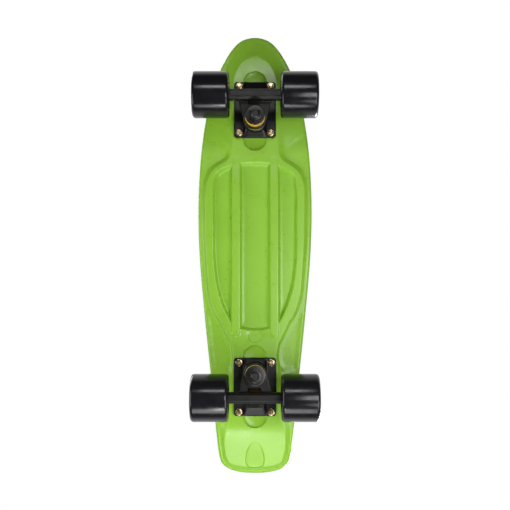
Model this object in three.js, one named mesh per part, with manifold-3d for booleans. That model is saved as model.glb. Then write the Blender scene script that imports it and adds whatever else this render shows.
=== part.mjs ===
// A cruiser skateboard: a moulded plastic deck on two steering trucks, with four wheels.
// Millimetres. X runs across the board, Y along it with the nose at +Y, and Z up from the floor.
import * as THREE from 'three';
import { mergeVertices } from 'three/addons/utils/BufferGeometryUtils.js';
import Module from 'manifold-3d';

// Deck, seen from above
const deckLength = 564;
const deckWidth = 145.4;
const noseRise = 6;
const noseRun = 61;
const noseFlatLength = deckLength / 2 - noseRun;
const tailRun = 60.5;
const tailFlatLength = deckLength / 2 - tailRun;
const tailBendLength = 12;
const tailAngle = 20;

// Where the trucks sit, as their bolt patterns' centres
const noseOverhang = 100;
const tailOverhang = 113.5;
const frontTruckPlace = deckLength / 2 - noseOverhang;
const rearTruckPlace = deckLength / 2 - tailOverhang;

// Deck, in section
const deckThickness = 12;
const flangeStep = 4;
const edgeRadius = 2.6;
const rimWidth = 9;
const rimGroove = 0.7;
const rimGrooveDepth = 1;
const treadDrop = 0.2;
const spineInset = 45;

// Underside of the deck
const shoulderFoot = 4.5;
const shoulderTop = 9.5;
const saddleInset = 25;
const shoulderNotch = 14;
const shoulderToFrontTruck = 60;
const shoulderToRearTruck = 56;
const shoulderFront = frontTruckPlace - shoulderToFrontTruck;
const shoulderRear = rearTruckPlace - shoulderToRearTruck;
const shoulderFade = 34;
const pocketHalfWidth = 54;
const pocketToTruck = 69;
const pocketFront = frontTruckPlace - pocketToTruck;
const pocketRear = rearTruckPlace - pocketToTruck;
const pocketDepth = 5;
const pocketDraft = 4.3;
const ribSpacing = 48.6;
const ribFootWidth = 15.5;
const ribTopWidth = 8.8;
const ribToFrontTruck = 50;
const ribToRearTruck = 54;
const ribFront = frontTruckPlace - ribToFrontTruck;
const ribRear = rearTruckPlace - ribToRearTruck;
const ribEndSlope = 7;
const ribProud = 1.5;
const channelLength = 103;
const channelRadius = 15;
const channelDepth = 3.5;
const channelDraft = 4;

// Round pad on the tread
const padShift = 1.5;
const padCentre = (frontTruckPlace - rearTruckPlace) / 2 - padShift;
const padRadius = 29.4;
const padGrooveWidth = 1.2;
const padGrooveDepth = 0.8;

// Deck bolts and their nuts
const boltSpacingAcross = 40.3;
const boltSpacingAlong = 61;
const boltRadius = 2.4;
const boltHeadRadius = 4.95;
const boltHeadHeight = 2.8;
const boltHeadEdge = 0.5;
const boltEndProud = 1.4;
const boltNutHeight = 4;
const boltNutWidth = 8;

// Baseplate
const plateSideMargin = 6.5;
const plateEndMargin = 5.6;
const plateWidth = boltSpacingAcross + 2 * plateSideMargin;
const plateLength = boltSpacingAlong + 2 * plateEndMargin;
const plateThickness = 5;
const plateCorner = 4;
const blockWidth = 29;
const blockDraft = 3.2;
const blockEndSlope = 10.5;
const blockHeight = 5.2;
const bossRadius = 14.6;
const bossDraft = 1.6;
const housingWall = 2.3;
const housingDepth = 4.5;

// Kingpin and what it holds
const kingpinPlace = 18;
const kingpinLean = -2;
const ringDrop = 36;
const kingpinRadius = 4.75;
const kingpinHeadRadius = 7.8;
const kingpinHeadHeight = 5.2;
const kingpinHeadDrop = 1.2;
const kingpinEndProud = 2;
const kingpinNutWidth = 14.3;
const kingpinNutHeight = 7;
const boardBushingHeight = 13.5;
const roadBushingHeight = 10;
const bushingRadius = 12.3;
const bushingWaist = 10.9;
const bushingBore = 5.1;
const bushingEdge = 1.2;
const cupWasherRadius = 12.4;
const cupWasherSmallRadius = 11;
const cupWasherThickness = 1.2;

// Hanger
const ringRadius = 14.5;
const ringBore = 8;
const ringThickness = 8;
const pivotPlace = 11;
const pivotDrop = 13;
const pivotRadius = 5.2;
const pivotCupRadius = 7;
const pivotCupLip = 1.4;
const pivotCupLipWidth = 1.6;
const neckWidth = 15;
const neckStart = 8;
const neckLength = 3;
const webWidth = 44;
const barHeight = 15;
const barWidth = 13;
const barChamfer = 3;
const axlePlace = 8;
const axleDrop = 45;

// Axle, wheels and bearings
const axleRadius = 4;
const axleChamfer = 0.8;
const axleEndProud = 0.7;
const axleNutWidth = 12.7;
const axleNutHeight = 7;
const wheelRadius = 28.5;
const wheelWidth = 45;
const wheelTrack = 108;
const wheelEdge = 4;
const wheelHubRadius = 13.5;
const wheelDishRadius = 16.5;
const wheelHubWidth = 28;
const wheelCoreBore = 8.5;
const bearingRadius = 11;
const bearingWidth = 7;
const bearingShieldDepth = 0.5;
const bearingRingWall = 2;
const bearingInnerRadius = 6;
const spacerLength = 10;
const spacerRadius = 5;
const speedWasherThickness = 1;
const speedWasherRadius = 5.6;

// Fits and cuts
const fitGap = 0.3;
const overrun = 6;
const sliverHeight = 0.002;

// Facet counts
const wheelSides = 28;
const roundSides = 16;
const smallSides = 12;
const outlineSteps = 2;
const edgeSteps = 2;
const ballSteps = 4;
const ribEndSteps = 4;
const channelEndSteps = 8;
const plateCornerSteps = 3;
const blockCornerSteps = 1;

// The outline from nose tip to tail tip: shares of the half length, then of the half width.
const outlineShares = [
  [1, 0],
  [0.9835, 0.24],
  [0.942, 0.404],
  [0.85, 0.609],
  [0.74, 0.767],
  [0.62, 0.87],
  [0.446, 0.96],
  [0.226, 1],
  [0.005, 0.978],
  [-0.289, 0.8785],
  [-0.58, 0.759],
  [-0.803, 0.672],
  [-0.905, 0.632],
  [-0.95, 0.584],
  [-0.978, 0.468],
  [-0.9945, 0.27],
  [-1, 0],
];

// The pocket's right side from front to rear: shares of its reach along the board and of its half width.
const pocketShares = [
  [1, 0],
  [0.965, 0.58],
  [0.875, 0.93],
  [0.76, 1],
  [0.35, 1],
  [-0.12, 0.985],
  [-0.5, 0.88],
  [-0.78, 0.69],
  [-0.93, 0.5],
  [-1, 0],
];

const wasm = await Module();
wasm.setup();

// Basic shapes

function cleaned(geometry) {
  const bare = geometry.clone();
  bare.deleteAttribute('normal');
  bare.deleteAttribute('uv');
  const merged = mergeVertices(bare);
  const source = merged.index.array;
  const kept = [];
  for (let i = 0; i < source.length; i += 3) {
    const [a, b, c] = [source[i], source[i + 1], source[i + 2]];
    if (a !== b && b !== c && c !== a) kept.push(a, b, c);
  }
  merged.setIndex(kept);
  return merged;
}

function solidOf(geometry) {
  const merged = cleaned(geometry);
  const vertProperties = Float32Array.from(merged.attributes.position.array);
  const triVerts = Uint32Array.from(merged.index.array);
  return new wasm.Manifold(new wasm.Mesh({ numProp: 3, vertProperties, triVerts }));
}

// Corners [a, b, m] of a triangle, turned so that its longest edge comes first, and its height over that.
function longestEdgeFirst(corners, place) {
  const lengths = corners.map((corner, i) => place(corner).distanceTo(place(corners[(i + 1) % 3])));
  const longest = lengths.indexOf(Math.max(...lengths));
  const turnedCorners = [0, 1, 2].map((i) => corners[(longest + i) % 3]);
  const [a, b, m] = turnedCorners.map(place);
  const doubleArea = b.clone().sub(a).cross(m.clone().sub(a)).length();
  return { corners: turnedCorners, height: doubleArea / lengths[longest] };
}

// A cut can leave a triangle with no height, its third corner on its longest edge. That corner is
// given to the triangle across the edge instead, which splits there, so the surface stays as it was.
function withoutSlivers(positions, triangles) {
  const place = (i) => new THREE.Vector3().fromArray(positions, 3 * i);
  const heightOf = (corners) => longestEdgeFirst(corners, place).height;
  const owner = new Map();
  triangles.forEach((corners, t) => {
    corners.forEach((corner, i) => owner.set(`${corner} ${corners[(i + 1) % 3]}`, t));
  });
  for (let t = 0; t < triangles.length; t += 1) {
    const { corners: [a, b, m], height } = longestEdgeFirst(triangles[t], place);
    const other = height < sliverHeight ? owner.get(`${b} ${a}`) : undefined;
    if (other !== undefined) {
      const d = triangles[other].find((corner) => corner !== a && corner !== b);
      const pair = [[a, d, m], [d, b, m]];
      const free = !owner.has(`${m} ${d}`) && !owner.has(`${d} ${m}`);
      if (free && Math.min(...pair.map(heightOf)) > height) {
        const rest = triangles.filter((_, i) => i !== t && i !== other);
        return withoutSlivers(positions, [...rest, ...pair]);
      }
    }
  }
  return triangles;
}

function geometryOf(solid) {
  const { vertProperties, triVerts } = solid.getMesh();
  const triangles = [];
  for (let i = 0; i < triVerts.length; i += 3) triangles.push(Array.from(triVerts.slice(i, i + 3)));
  const geometry = new THREE.BufferGeometry();
  geometry.setAttribute('position', new THREE.BufferAttribute(Float32Array.from(vertProperties), 3));
  geometry.setIndex(withoutSlivers(vertProperties, triangles).flat());
  return geometry;
}

function joined(geometries) {
  return geometries.map(solidOf).reduce((sum, next) => sum.add(next));
}

// A turned piece about Z, from a profile of [radius, height] pairs, with flats square to X and Y.
function turned(profile, sides) {
  const points = profile.map(([radius, height]) => new THREE.Vector2(radius, height));
  const geometry = new THREE.LatheGeometry(points, sides, Math.PI / sides);
  return geometry.rotateX(Math.PI / 2);
}

function closedRing(profile, sides) {
  return turned([...profile, profile[0]], sides);
}

function rod(radius, from, to, sides) {
  return turned([[0, from], [radius, from], [radius, to], [0, to]], sides);
}

// A quarter circle from the axis below out to the radius, for a ball end or its seat.
function roundEnd(radius) {
  const points = [];
  for (let i = 0; i <= ballSteps; i += 1) {
    const angle = (Math.PI / 2) * (i / ballSteps);
    points.push([radius * Math.sin(angle), -radius * Math.cos(angle)]);
  }
  return points;
}

function prismAlongX(outline, width) {
  const shape = new THREE.Shape(outline.map(([y, z]) => new THREE.Vector2(y, z)));
  const geometry = new THREE.ExtrudeGeometry(shape, { depth: width, bevelEnabled: false });
  geometry.translate(0, 0, -width / 2);
  return geometry.rotateX(Math.PI / 2).rotateZ(Math.PI / 2);
}

// A block between two loops of as many points; each height is a function of the point's place.
function lofted(lowerLoop, lowerHeight, upperLoop, upperHeight) {
  const lower = lowerLoop.map((p) => [p.x, p.y, lowerHeight(p)]);
  const upper = upperLoop.map((p) => [p.x, p.y, upperHeight(p)]);
  const positions = [];
  for (let i = 0; i < lower.length; i += 1) {
    const next = (i + 1) % lower.length;
    positions.push(...lower[i], ...lower[next], ...upper[next]);
    positions.push(...lower[i], ...upper[next], ...upper[i]);
  }
  for (const [a, b, c] of THREE.ShapeUtils.triangulateShape(upperLoop, [])) {
    positions.push(...upper[a], ...upper[b], ...upper[c]);
  }
  for (const [a, b, c] of THREE.ShapeUtils.triangulateShape(lowerLoop, [])) {
    positions.push(...lower[a], ...lower[c], ...lower[b]);
  }
  const geometry = new THREE.BufferGeometry();
  geometry.setAttribute('position', new THREE.Float32BufferAttribute(positions, 3));
  return geometry;
}

function level(height) {
  return () => height;
}

function roundedRectangle(width, length, corner, steps) {
  const shape = new THREE.Shape();
  const [x, y] = [width / 2, length / 2];
  shape.moveTo(x, corner - y);
  shape.lineTo(x, y - corner);
  shape.absarc(x - corner, y - corner, corner, 0, Math.PI / 2, false);
  shape.absarc(corner - x, y - corner, corner, Math.PI / 2, Math.PI, false);
  shape.absarc(corner - x, corner - y, corner, Math.PI, 1.5 * Math.PI, false);
  shape.absarc(x - corner, corner - y, corner, 1.5 * Math.PI, 2 * Math.PI, false);
  return uniqueLoop(shape.getPoints(steps));
}

function uniqueLoop(points) {
  return points.filter((p, i) => p.distanceTo(points[(i + 1) % points.length]) > sliverHeight);
}

function stadium(centreX, fromY, toY, radius, steps) {
  const loop = [];
  for (const [y, start] of [[toY, 0], [fromY, Math.PI]]) {
    for (let i = 0; i <= steps; i += 1) {
      const angle = start + (Math.PI * i) / steps;
      loop.push(new THREE.Vector2(centreX + radius * Math.cos(angle), y + radius * Math.sin(angle)));
    }
  }
  return loop;
}

// A smooth closed loop through a right half given by shares, and its mirror image, run anticlockwise.
function mirroredLoop(shares, place, stepsPerSpan) {
  const right = shares.map(place);
  const left = right.filter((p) => p.x > 0).reverse().map((p) => new THREE.Vector2(-p.x, p.y));
  const control = [...right, ...left].map((p) => new THREE.Vector3(p.x, p.y, 0));
  const curve = new THREE.CatmullRomCurve3(control, true);
  const count = control.length * stepsPerSpan;
  const loop = [];
  for (let i = 0; i < count; i += 1) {
    const point = curve.getPoint(i / count);
    loop.push(new THREE.Vector2(point.x, point.y));
  }
  return loop.reverse();
}

function hexNut(width, height, bore) {
  const shape = new THREE.Shape();
  const corner = width / Math.sqrt(3);
  for (let i = 0; i < 6; i += 1) {
    const angle = (Math.PI * i) / 3;
    const move = i === 0 ? 'moveTo' : 'lineTo';
    shape[move](corner * Math.cos(angle), corner * Math.sin(angle));
  }
  shape.closePath();
  const hole = new THREE.Path();
  hole.absarc(0, 0, bore, 0, 2 * Math.PI, true);
  shape.holes.push(hole);
  return new THREE.ExtrudeGeometry(shape, { depth: height, bevelEnabled: false, curveSegments: smallSides });
}

// Named meshes

const cruiser = new THREE.Group();

function material(color, roughness, metalness) {
  return new THREE.MeshStandardMaterial({ color, roughness, metalness });
}

function addPiece(parent, name, geometry, finish) {
  const mesh = new THREE.Mesh(geometry, finish);
  mesh.name = name;
  parent.add(mesh);
  return mesh;
}

const greenPlastic = () => material(0x8fd127, 0.35, 0);
const blackMetal = () => material(0x16171a, 0.35, 0.4);
const zincYellow = () => material(0xb89a5a, 0.35, 0.9);
const steel = () => material(0xa8acb0, 0.3, 1);
const blackWheel = () => material(0x101013, 0.2, 0);
const yellowUrethane = () => material(0xd8c81e, 0.45, 0);
const blackUrethane = () => material(0x1c1c1e, 0.5, 0);

// Deck

const halfLength = deckLength / 2;
const treadTop = deckThickness - treadDrop;
const tailSlope = Math.tan(THREE.MathUtils.degToRad(tailAngle));

// How far the deck lies above its flat middle: the nose lifts in a long curve, the tail past a crease.
function rise(y) {
  const past = -y - tailFlatLength;
  if (past > tailBendLength) return tailSlope * past;
  if (past > -tailBendLength) return (tailSlope * (past + tailBendLength) ** 2) / (4 * tailBendLength);
  const lift = Math.max(0, y - noseFlatLength) / (halfLength - noseFlatLength);
  return noseRise * lift * lift;
}

// One between the two steps of the shoulder, falling to zero over the saddles that carry the trucks.
function betweenSaddles(y) {
  const front = THREE.MathUtils.smoothstep(shoulderFront + shoulderFade / 2 - y, 0, shoulderFade);
  const rear = THREE.MathUtils.smoothstep(y + shoulderRear + shoulderFade / 2, 0, shoulderFade);
  return front * rear;
}

function shoulderFootInset(y) {
  const middle = betweenSaddles(y);
  return shoulderFoot + shoulderNotch * 4 * middle * (1 - middle);
}

function shoulderTopInset(y) {
  return Math.max(
    THREE.MathUtils.lerp(saddleInset, shoulderTop, betweenSaddles(y)),
    shoulderFootInset(y) + shoulderFoot,
  );
}

// The deck's section from the middle of the tread, round the edge, to the middle of the underside.
function sectionRings() {
  const rings = [
    { inset: level(rimWidth + 2 * rimGroove), height: treadTop },
    { inset: level(rimWidth + rimGroove), height: deckThickness - rimGrooveDepth },
    { inset: level(rimWidth), height: deckThickness },
  ];
  for (let i = 0; i <= edgeSteps; i += 1) {
    const angle = (Math.PI / 2) * (i / edgeSteps);
    const inset = edgeRadius * (1 - Math.sin(angle));
    rings.push({ inset: level(inset), height: deckThickness - edgeRadius * (1 - Math.cos(angle)) });
  }
  for (let i = 0; i <= edgeSteps; i += 1) {
    const angle = (Math.PI / 2) * (i / edgeSteps);
    const inset = edgeRadius * (1 - Math.cos(angle));
    rings.push({ inset: level(inset), height: flangeStep + edgeRadius * (1 - Math.sin(angle)) });
  }
  rings.push({ inset: shoulderFootInset, height: flangeStep });
  rings.push({ inset: shoulderTopInset, height: 0 });
  return rings;
}

function deckBlank() {
  const place = ([along, across]) => new THREE.Vector2(across * (deckWidth / 2), along * halfLength);
  const outline = mirroredLoop(outlineShares, place, outlineSteps);
  const count = outline.length;
  const inward = outline.map((_, i) => {
    const ahead = outline[(i + 1) % count];
    const behind = outline[(i + count - 1) % count];
    const along = ahead.clone().sub(behind).normalize();
    return new THREE.Vector2(-along.y, along.x);
  });
  const spineEnd = halfLength - spineInset;
  const spine = outline.map((p) => new THREE.Vector2(0, THREE.MathUtils.clamp(p.y, -spineEnd, spineEnd)));
  const lifted = (p, height) => [p.x, p.y, height + rise(p.y)];
  const loops = sectionRings().map(({ inset, height }) => outline.map((p, i) => {
    const moved = p.clone().addScaledVector(inward[i], inset(p.y));
    return lifted(moved, height);
  }));
  const treadMiddle = outline.map((p, i) => {
    const edge = p.clone().addScaledVector(inward[i], rimWidth);
    return lifted(edge.lerp(spine[i], 0.5), treadTop);
  });
  const all = [
    spine.map((p) => lifted(p, treadTop)),
    treadMiddle,
    ...loops,
    spine.map((p) => lifted(p, 0)),
  ];
  const positions = [];
  for (let ring = 0; ring + 1 < all.length; ring += 1) {
    const [inner, outer] = [all[ring], all[ring + 1]];
    for (let i = 0; i < count; i += 1) {
      const next = (i + 1) % count;
      positions.push(...inner[i], ...outer[i], ...outer[next]);
      positions.push(...inner[i], ...outer[next], ...inner[next]);
    }
  }
  const geometry = new THREE.BufferGeometry();
  geometry.setAttribute('position', new THREE.Float32BufferAttribute(positions, 3));
  return geometry;
}

function pocketCutter() {
  const loop = (shrink) => mirroredLoop(pocketShares, ([along, across]) => {
    const reach = along > 0 ? pocketFront : pocketRear;
    return new THREE.Vector2(across * (pocketHalfWidth - shrink), along * (reach - shrink));
  }, outlineSteps);
  const flare = (pocketDraft * overrun) / pocketDepth;
  return lofted(loop(-flare), level(-overrun), loop(pocketDraft), level(pocketDepth));
}

function undersideRib(side) {
  const centre = (side * ribSpacing) / 2;
  const [foot, top] = [ribFootWidth / 2, ribTopWidth / 2];
  const [rearEnd, frontEnd] = [foot - ribRear, ribFront - foot];
  const footLoop = stadium(centre, rearEnd, frontEnd, foot, ribEndSteps);
  const topLoop = stadium(centre, rearEnd + ribEndSlope, frontEnd - ribEndSlope, top, ribEndSteps);
  return lofted(topLoop, level(-ribProud), footLoop, level(pocketDepth + rimGrooveDepth));
}

function channelCutter(centreY) {
  const straight = channelLength / 2 - channelRadius;
  const flare = (channelDraft * overrun) / channelDepth;
  const [rearEnd, frontEnd] = [centreY - straight, centreY + straight];
  const loop = (radius) => stadium(0, rearEnd, frontEnd, radius, channelEndSteps);
  const floor = loop(channelRadius - channelDraft);
  return lofted(loop(channelRadius + flare), level(-overrun), floor, level(channelDepth));
}

const boltPlaces = [];
for (const centre of [frontTruckPlace, -rearTruckPlace]) {
  for (const along of [-1, 1]) {
    for (const across of [-1, 1]) {
      const x = (across * boltSpacingAcross) / 2;
      boltPlaces.push([x, centre + (along * boltSpacingAlong) / 2]);
    }
  }
}

function boltHole([x, y]) {
  const bore = boltRadius + fitGap;
  const mouth = boltHeadRadius + fitGap;
  const profile = [
    [0, -overrun],
    [bore, -overrun],
    [bore, treadTop - boltHeadHeight - fitGap],
    [mouth, treadTop - boltHeadEdge],
    [mouth, treadTop + overrun],
    [0, treadTop + overrun],
  ];
  return turned(profile, smallSides).translate(x, y, 0);
}

function padGroove() {
  const profile = [
    [padRadius, treadTop - padGrooveDepth],
    [padRadius + padGrooveWidth, treadTop - padGrooveDepth],
    [padRadius + padGrooveWidth, treadTop + overrun],
    [padRadius, treadTop + overrun],
  ];
  return closedRing(profile, wheelSides).translate(0, padCentre, 0);
}

function makeDeck(parent) {
  let solid = solidOf(deckBlank());
  solid = solid.subtract(solidOf(pocketCutter()));
  for (const side of [-1, 1]) solid = solid.add(solidOf(undersideRib(side)));
  for (const centre of [frontTruckPlace, -rearTruckPlace]) {
    solid = solid.subtract(solidOf(channelCutter(centre)));
  }
  for (const place of boltPlaces) solid = solid.subtract(solidOf(boltHole(place)));
  solid = solid.subtract(solidOf(padGroove()));
  addPiece(parent, 'deck', geometryOf(solid), greenPlastic());
}

// Frames of the truck: local Y points away from the middle of the board, and local Z up from the deck's
// underside at the middle of the bolt pattern.

const steerAngle = Math.atan2(ringDrop - pivotDrop, pivotPlace + kingpinPlace);
const kingpinFrame = new THREE.Matrix4()
  .makeTranslation(0, -kingpinPlace, -ringDrop)
  .multiply(new THREE.Matrix4().makeRotationX(THREE.MathUtils.degToRad(kingpinLean)));
const pivotFrame = new THREE.Matrix4()
  .makeTranslation(0, pivotPlace, -pivotDrop)
  .multiply(new THREE.Matrix4().makeRotationX(Math.PI / 2 + steerAngle));
const axleFrame = new THREE.Matrix4()
  .makeTranslation(0, axlePlace, -axleDrop)
  .multiply(new THREE.Matrix4().makeRotationY(Math.PI / 2));

// Stack along the kingpin, measured from the middle of the hanger's ring
const boardBushingFoot = ringThickness / 2 + fitGap;
const boardWasherFoot = boardBushingFoot + boardBushingHeight + fitGap;
const bossFace = boardWasherFoot + cupWasherThickness + fitGap;
const roadBushingHead = -boardBushingFoot;
const roadWasherHead = roadBushingHead - roadBushingHeight - fitGap;
const kingpinNutHead = roadWasherHead - cupWasherThickness - fitGap;
const kingpinEnd = kingpinNutHead - kingpinNutHeight - kingpinEndProud;

function framed(geometry, frame) {
  return geometry.applyMatrix4(frame);
}

// Baseplate

function baseplateGeometry() {
  const plateFace = -fitGap - plateThickness;
  const blockFace = plateFace - blockHeight;
  const outline = roundedRectangle(plateWidth, plateLength, plateCorner, plateCornerSteps);
  const blockFoot = roundedRectangle(blockWidth, plateLength, blockDraft, blockCornerSteps);
  const blockTop = roundedRectangle(
    blockWidth - 2 * blockDraft,
    plateLength - 2 * blockEndSlope,
    blockDraft,
    blockCornerSteps,
  );
  const bossBack = ringDrop - fitGap - plateThickness / 2;
  const boss = turned([
    [0, bossFace],
    [bossRadius - bossDraft, bossFace],
    [bossRadius, bossBack],
    [0, bossBack],
  ], roundSides);
  const cupBack = pivotCupRadius + fitGap;
  const housing = rod(cupBack + housingWall, -cupBack - housingWall, housingDepth, roundSides);
  let solid = joined([
    lofted(outline, level(plateFace), outline, level(-fitGap)),
    lofted(blockTop, level(blockFace), blockFoot, level(plateFace + fitGap)),
    framed(boss, kingpinFrame),
    framed(housing, pivotFrame),
  ]);
  const deckSide = new THREE.BoxGeometry(2 * plateWidth, 2 * plateLength, plateLength)
    .translate(0, 0, plateLength / 2 - fitGap);
  const lipBore = pivotCupRadius + pivotCupLipWidth + fitGap;
  const cupBore = turned([
    [0, -cupBack],
    [pivotCupRadius + fitGap, -cupBack],
    [pivotCupRadius + fitGap, housingDepth],
    [lipBore, housingDepth],
    [lipBore, neckStart + neckLength],
    [0, neckStart + neckLength],
  ], roundSides);
  const headTop = ringDrop + overrun;
  const headSeat = ringDrop - kingpinHeadDrop - kingpinHeadHeight - fitGap;
  const kingpinHole = turned([
    [0, bossFace - overrun],
    [kingpinRadius + fitGap, bossFace - overrun],
    [kingpinRadius + fitGap, headSeat],
    [kingpinHeadRadius + fitGap, headSeat],
    [kingpinHeadRadius + fitGap, headTop],
    [0, headTop],
  ], roundSides);
  solid = solid.subtract(solidOf(deckSide));
  solid = solid.subtract(solidOf(framed(cupBore, pivotFrame)));
  solid = solid.subtract(solidOf(framed(kingpinHole, kingpinFrame)));
  for (const along of [-1, 1]) {
    for (const across of [-1, 1]) {
      const hole = rod(boltRadius + fitGap, -ringDrop, overrun, smallSides);
      hole.translate((across * boltSpacingAcross) / 2, (along * boltSpacingAlong) / 2, 0);
      solid = solid.subtract(solidOf(hole));
    }
  }
  return geometryOf(solid);
}

// Kingpin, its nut, the bushings and the cup washers, along the kingpin

function kingpinGeometry() {
  const headTop = ringDrop - kingpinHeadDrop;
  const headSeat = headTop - kingpinHeadHeight;
  return turned([
    [0, kingpinEnd],
    [kingpinRadius - axleChamfer, kingpinEnd],
    [kingpinRadius, kingpinEnd + axleChamfer],
    [kingpinRadius, headSeat],
    [kingpinHeadRadius, headSeat],
    [kingpinHeadRadius, headTop],
    [0, headTop],
  ], roundSides);
}

function bushingGeometry(height) {
  const profile = [
    [bushingBore, 0],
    [bushingRadius - bushingEdge, 0],
    [bushingRadius, bushingEdge],
    [bushingWaist, height / 2],
    [bushingRadius, height - bushingEdge],
    [bushingRadius - bushingEdge, height],
    [bushingBore, height],
  ];
  return closedRing(profile, roundSides);
}

// A disc with a rounded rim, which spreads the load over one end of a bushing.
function cupWasherGeometry(radius) {
  const bore = kingpinRadius + fitGap;
  const profile = [
    [bore, 0],
    [radius, 0],
    [radius + cupWasherThickness, cupWasherThickness / 2],
    [radius, cupWasherThickness],
    [bore, cupWasherThickness],
  ];
  return closedRing(profile, roundSides);
}

// Hanger: the ring and its web, the bar that holds the axle, and the neck that ends in the pivot

function hangerGeometry() {
  const ring = rod(ringRadius, -ringThickness / 2, ringThickness / 2, roundSides);
  const barSide = kingpinPlace + axlePlace;
  const web = new THREE.Shape([
    new THREE.Vector2(-ringRadius, 0),
    new THREE.Vector2(ringRadius, 0),
    new THREE.Vector2(webWidth / 2, barSide),
    new THREE.Vector2(-webWidth / 2, barSide),
  ]);
  const webBlock = new THREE.ExtrudeGeometry(web, { depth: ringThickness, bevelEnabled: false });
  webBlock.translate(0, 0, -ringThickness / 2);
  const [halfBar, halfHeight] = [barWidth / 2, barHeight / 2];
  const bar = prismAlongX([
    [axlePlace - halfBar, -axleDrop + barChamfer - halfHeight],
    [axlePlace - halfBar + barChamfer, -axleDrop - halfHeight],
    [axlePlace + halfBar - barChamfer, -axleDrop - halfHeight],
    [axlePlace + halfBar, -axleDrop + barChamfer - halfHeight],
    [axlePlace + halfBar, -axleDrop - barChamfer + halfHeight],
    [axlePlace + halfBar - barChamfer, -axleDrop + halfHeight],
    [axlePlace - halfBar + barChamfer, -axleDrop + halfHeight],
    [axlePlace - halfBar, -axleDrop - barChamfer + halfHeight],
  ], 2 * hangerEnd);
  const onPivotAxis = (along, above) => {
    const point = new THREE.Vector3(0, above, along).applyMatrix4(pivotFrame);
    return [point.y, point.z];
  };
  const neck = prismAlongX([
    onPivotAxis(neckStart, -pivotRadius),
    onPivotAxis(neckStart, pivotRadius),
    onPivotAxis(neckStart + neckLength, pivotRadius),
    [ringRadius - kingpinPlace, -ringDrop + ringThickness / 2],
    [ringRadius - kingpinPlace, -ringDrop - ringThickness / 2],
    [axlePlace - halfBar, -axleDrop],
    [axlePlace + halfBar, -axleDrop],
  ], neckWidth);
  const stemEnd = neckStart + neckLength;
  const stem = turned([...roundEnd(pivotRadius), [pivotRadius, stemEnd], [0, stemEnd]], roundSides);
  const bore = rod(ringBore, -ringThickness, ringThickness, roundSides);
  const axleBore = rod(axleRadius + fitGap, -wheelTrack, wheelTrack, smallSides);
  const solid = joined([
    framed(ring, kingpinFrame),
    framed(webBlock, kingpinFrame),
    bar,
    neck,
    framed(stem, pivotFrame),
  ]);
  return geometryOf(solid
    .subtract(solidOf(framed(bore, kingpinFrame)))
    .subtract(solidOf(framed(axleBore, axleFrame))));
}

// The plastic cup that the pivot turns in, with a lip on the housing's mouth.
function pivotCupGeometry() {
  const bore = pivotRadius + fitGap;
  const back = -pivotCupRadius;
  const mouth = housingDepth + fitGap + pivotCupLip;
  return turned([
    [0, back],
    [pivotCupRadius, back],
    [pivotCupRadius, housingDepth + fitGap],
    [pivotCupRadius + pivotCupLipWidth, housingDepth + fitGap],
    [pivotCupRadius + pivotCupLipWidth, mouth],
    [bore, mouth],
    ...roundEnd(bore).reverse(),
  ], roundSides);
}

// Wheel, bearings, the inner rings with their spacer and speed washers, and the axle nut, along the axle

const bearingEnd = spacerLength / 2 + bearingWidth;
const sleeveEnd = bearingEnd + speedWasherThickness;
const hangerEnd = wheelTrack / 2 - sleeveEnd - fitGap;
const axleNutFoot = wheelTrack / 2 + sleeveEnd + fitGap;
const axleEnd = axleNutFoot + axleNutHeight + axleEndProud;

function wheelGeometry() {
  const half = wheelWidth / 2;
  const seat = bearingRadius + fitGap;
  const step = wheelEdge * (1 - Math.SQRT1_2);
  const side = [
    [wheelRadius, half - wheelEdge],
    [wheelRadius - step, half - step],
    [wheelRadius - wheelEdge, half],
    [wheelDishRadius, half],
    [wheelHubRadius, wheelHubWidth / 2],
    [seat, wheelHubWidth / 2],
    [seat, spacerLength / 2 - fitGap],
    [wheelCoreBore, spacerLength / 2 - fitGap],
  ];
  const otherSide = side.map(([radius, along]) => [radius, -along]).reverse();
  return closedRing([...side, ...otherSide], wheelSides);
}

function bearingGeometry() {
  const bore = bearingInnerRadius + fitGap;
  const ring = bearingRadius - bearingRingWall;
  return closedRing([
    [bore, bearingShieldDepth],
    [ring, bearingShieldDepth],
    [ring, 0],
    [bearingRadius, 0],
    [bearingRadius, bearingWidth],
    [ring, bearingWidth],
    [ring, bearingWidth - bearingShieldDepth],
    [bore, bearingWidth - bearingShieldDepth],
  ], roundSides);
}

function sleeveGeometry() {
  const bore = axleRadius + fitGap;
  const half = [
    [spacerRadius, spacerLength / 2],
    [bearingInnerRadius, spacerLength / 2],
    [bearingInnerRadius, bearingEnd],
    [speedWasherRadius, bearingEnd],
    [speedWasherRadius, sleeveEnd],
    [bore, sleeveEnd],
  ];
  const otherHalf = half.map(([radius, along]) => [radius, -along]).reverse();
  return closedRing([...otherHalf, ...half], smallSides);
}

function axleGeometry() {
  return turned([
    [0, -axleEnd],
    [axleRadius - axleChamfer, -axleEnd],
    [axleRadius, axleChamfer - axleEnd],
    [axleRadius, axleEnd - axleChamfer],
    [axleRadius - axleChamfer, axleEnd],
    [0, axleEnd],
  ], smallSides);
}

// Deck bolt, standing in its hole with its head up, and its nut

function boltGeometry() {
  const end = -fitGap - plateThickness - fitGap - boltNutHeight - boltEndProud;
  return turned([
    [0, end],
    [boltRadius, end],
    [boltRadius, treadTop - boltHeadHeight],
    [boltHeadRadius, treadTop - boltHeadEdge],
    [boltHeadRadius, treadTop],
    [0, treadTop],
  ], smallSides);
}

function placedGroup(frame) {
  const group = new THREE.Group();
  frame.decompose(group.position, group.quaternion, group.scale);
  return group;
}

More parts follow.
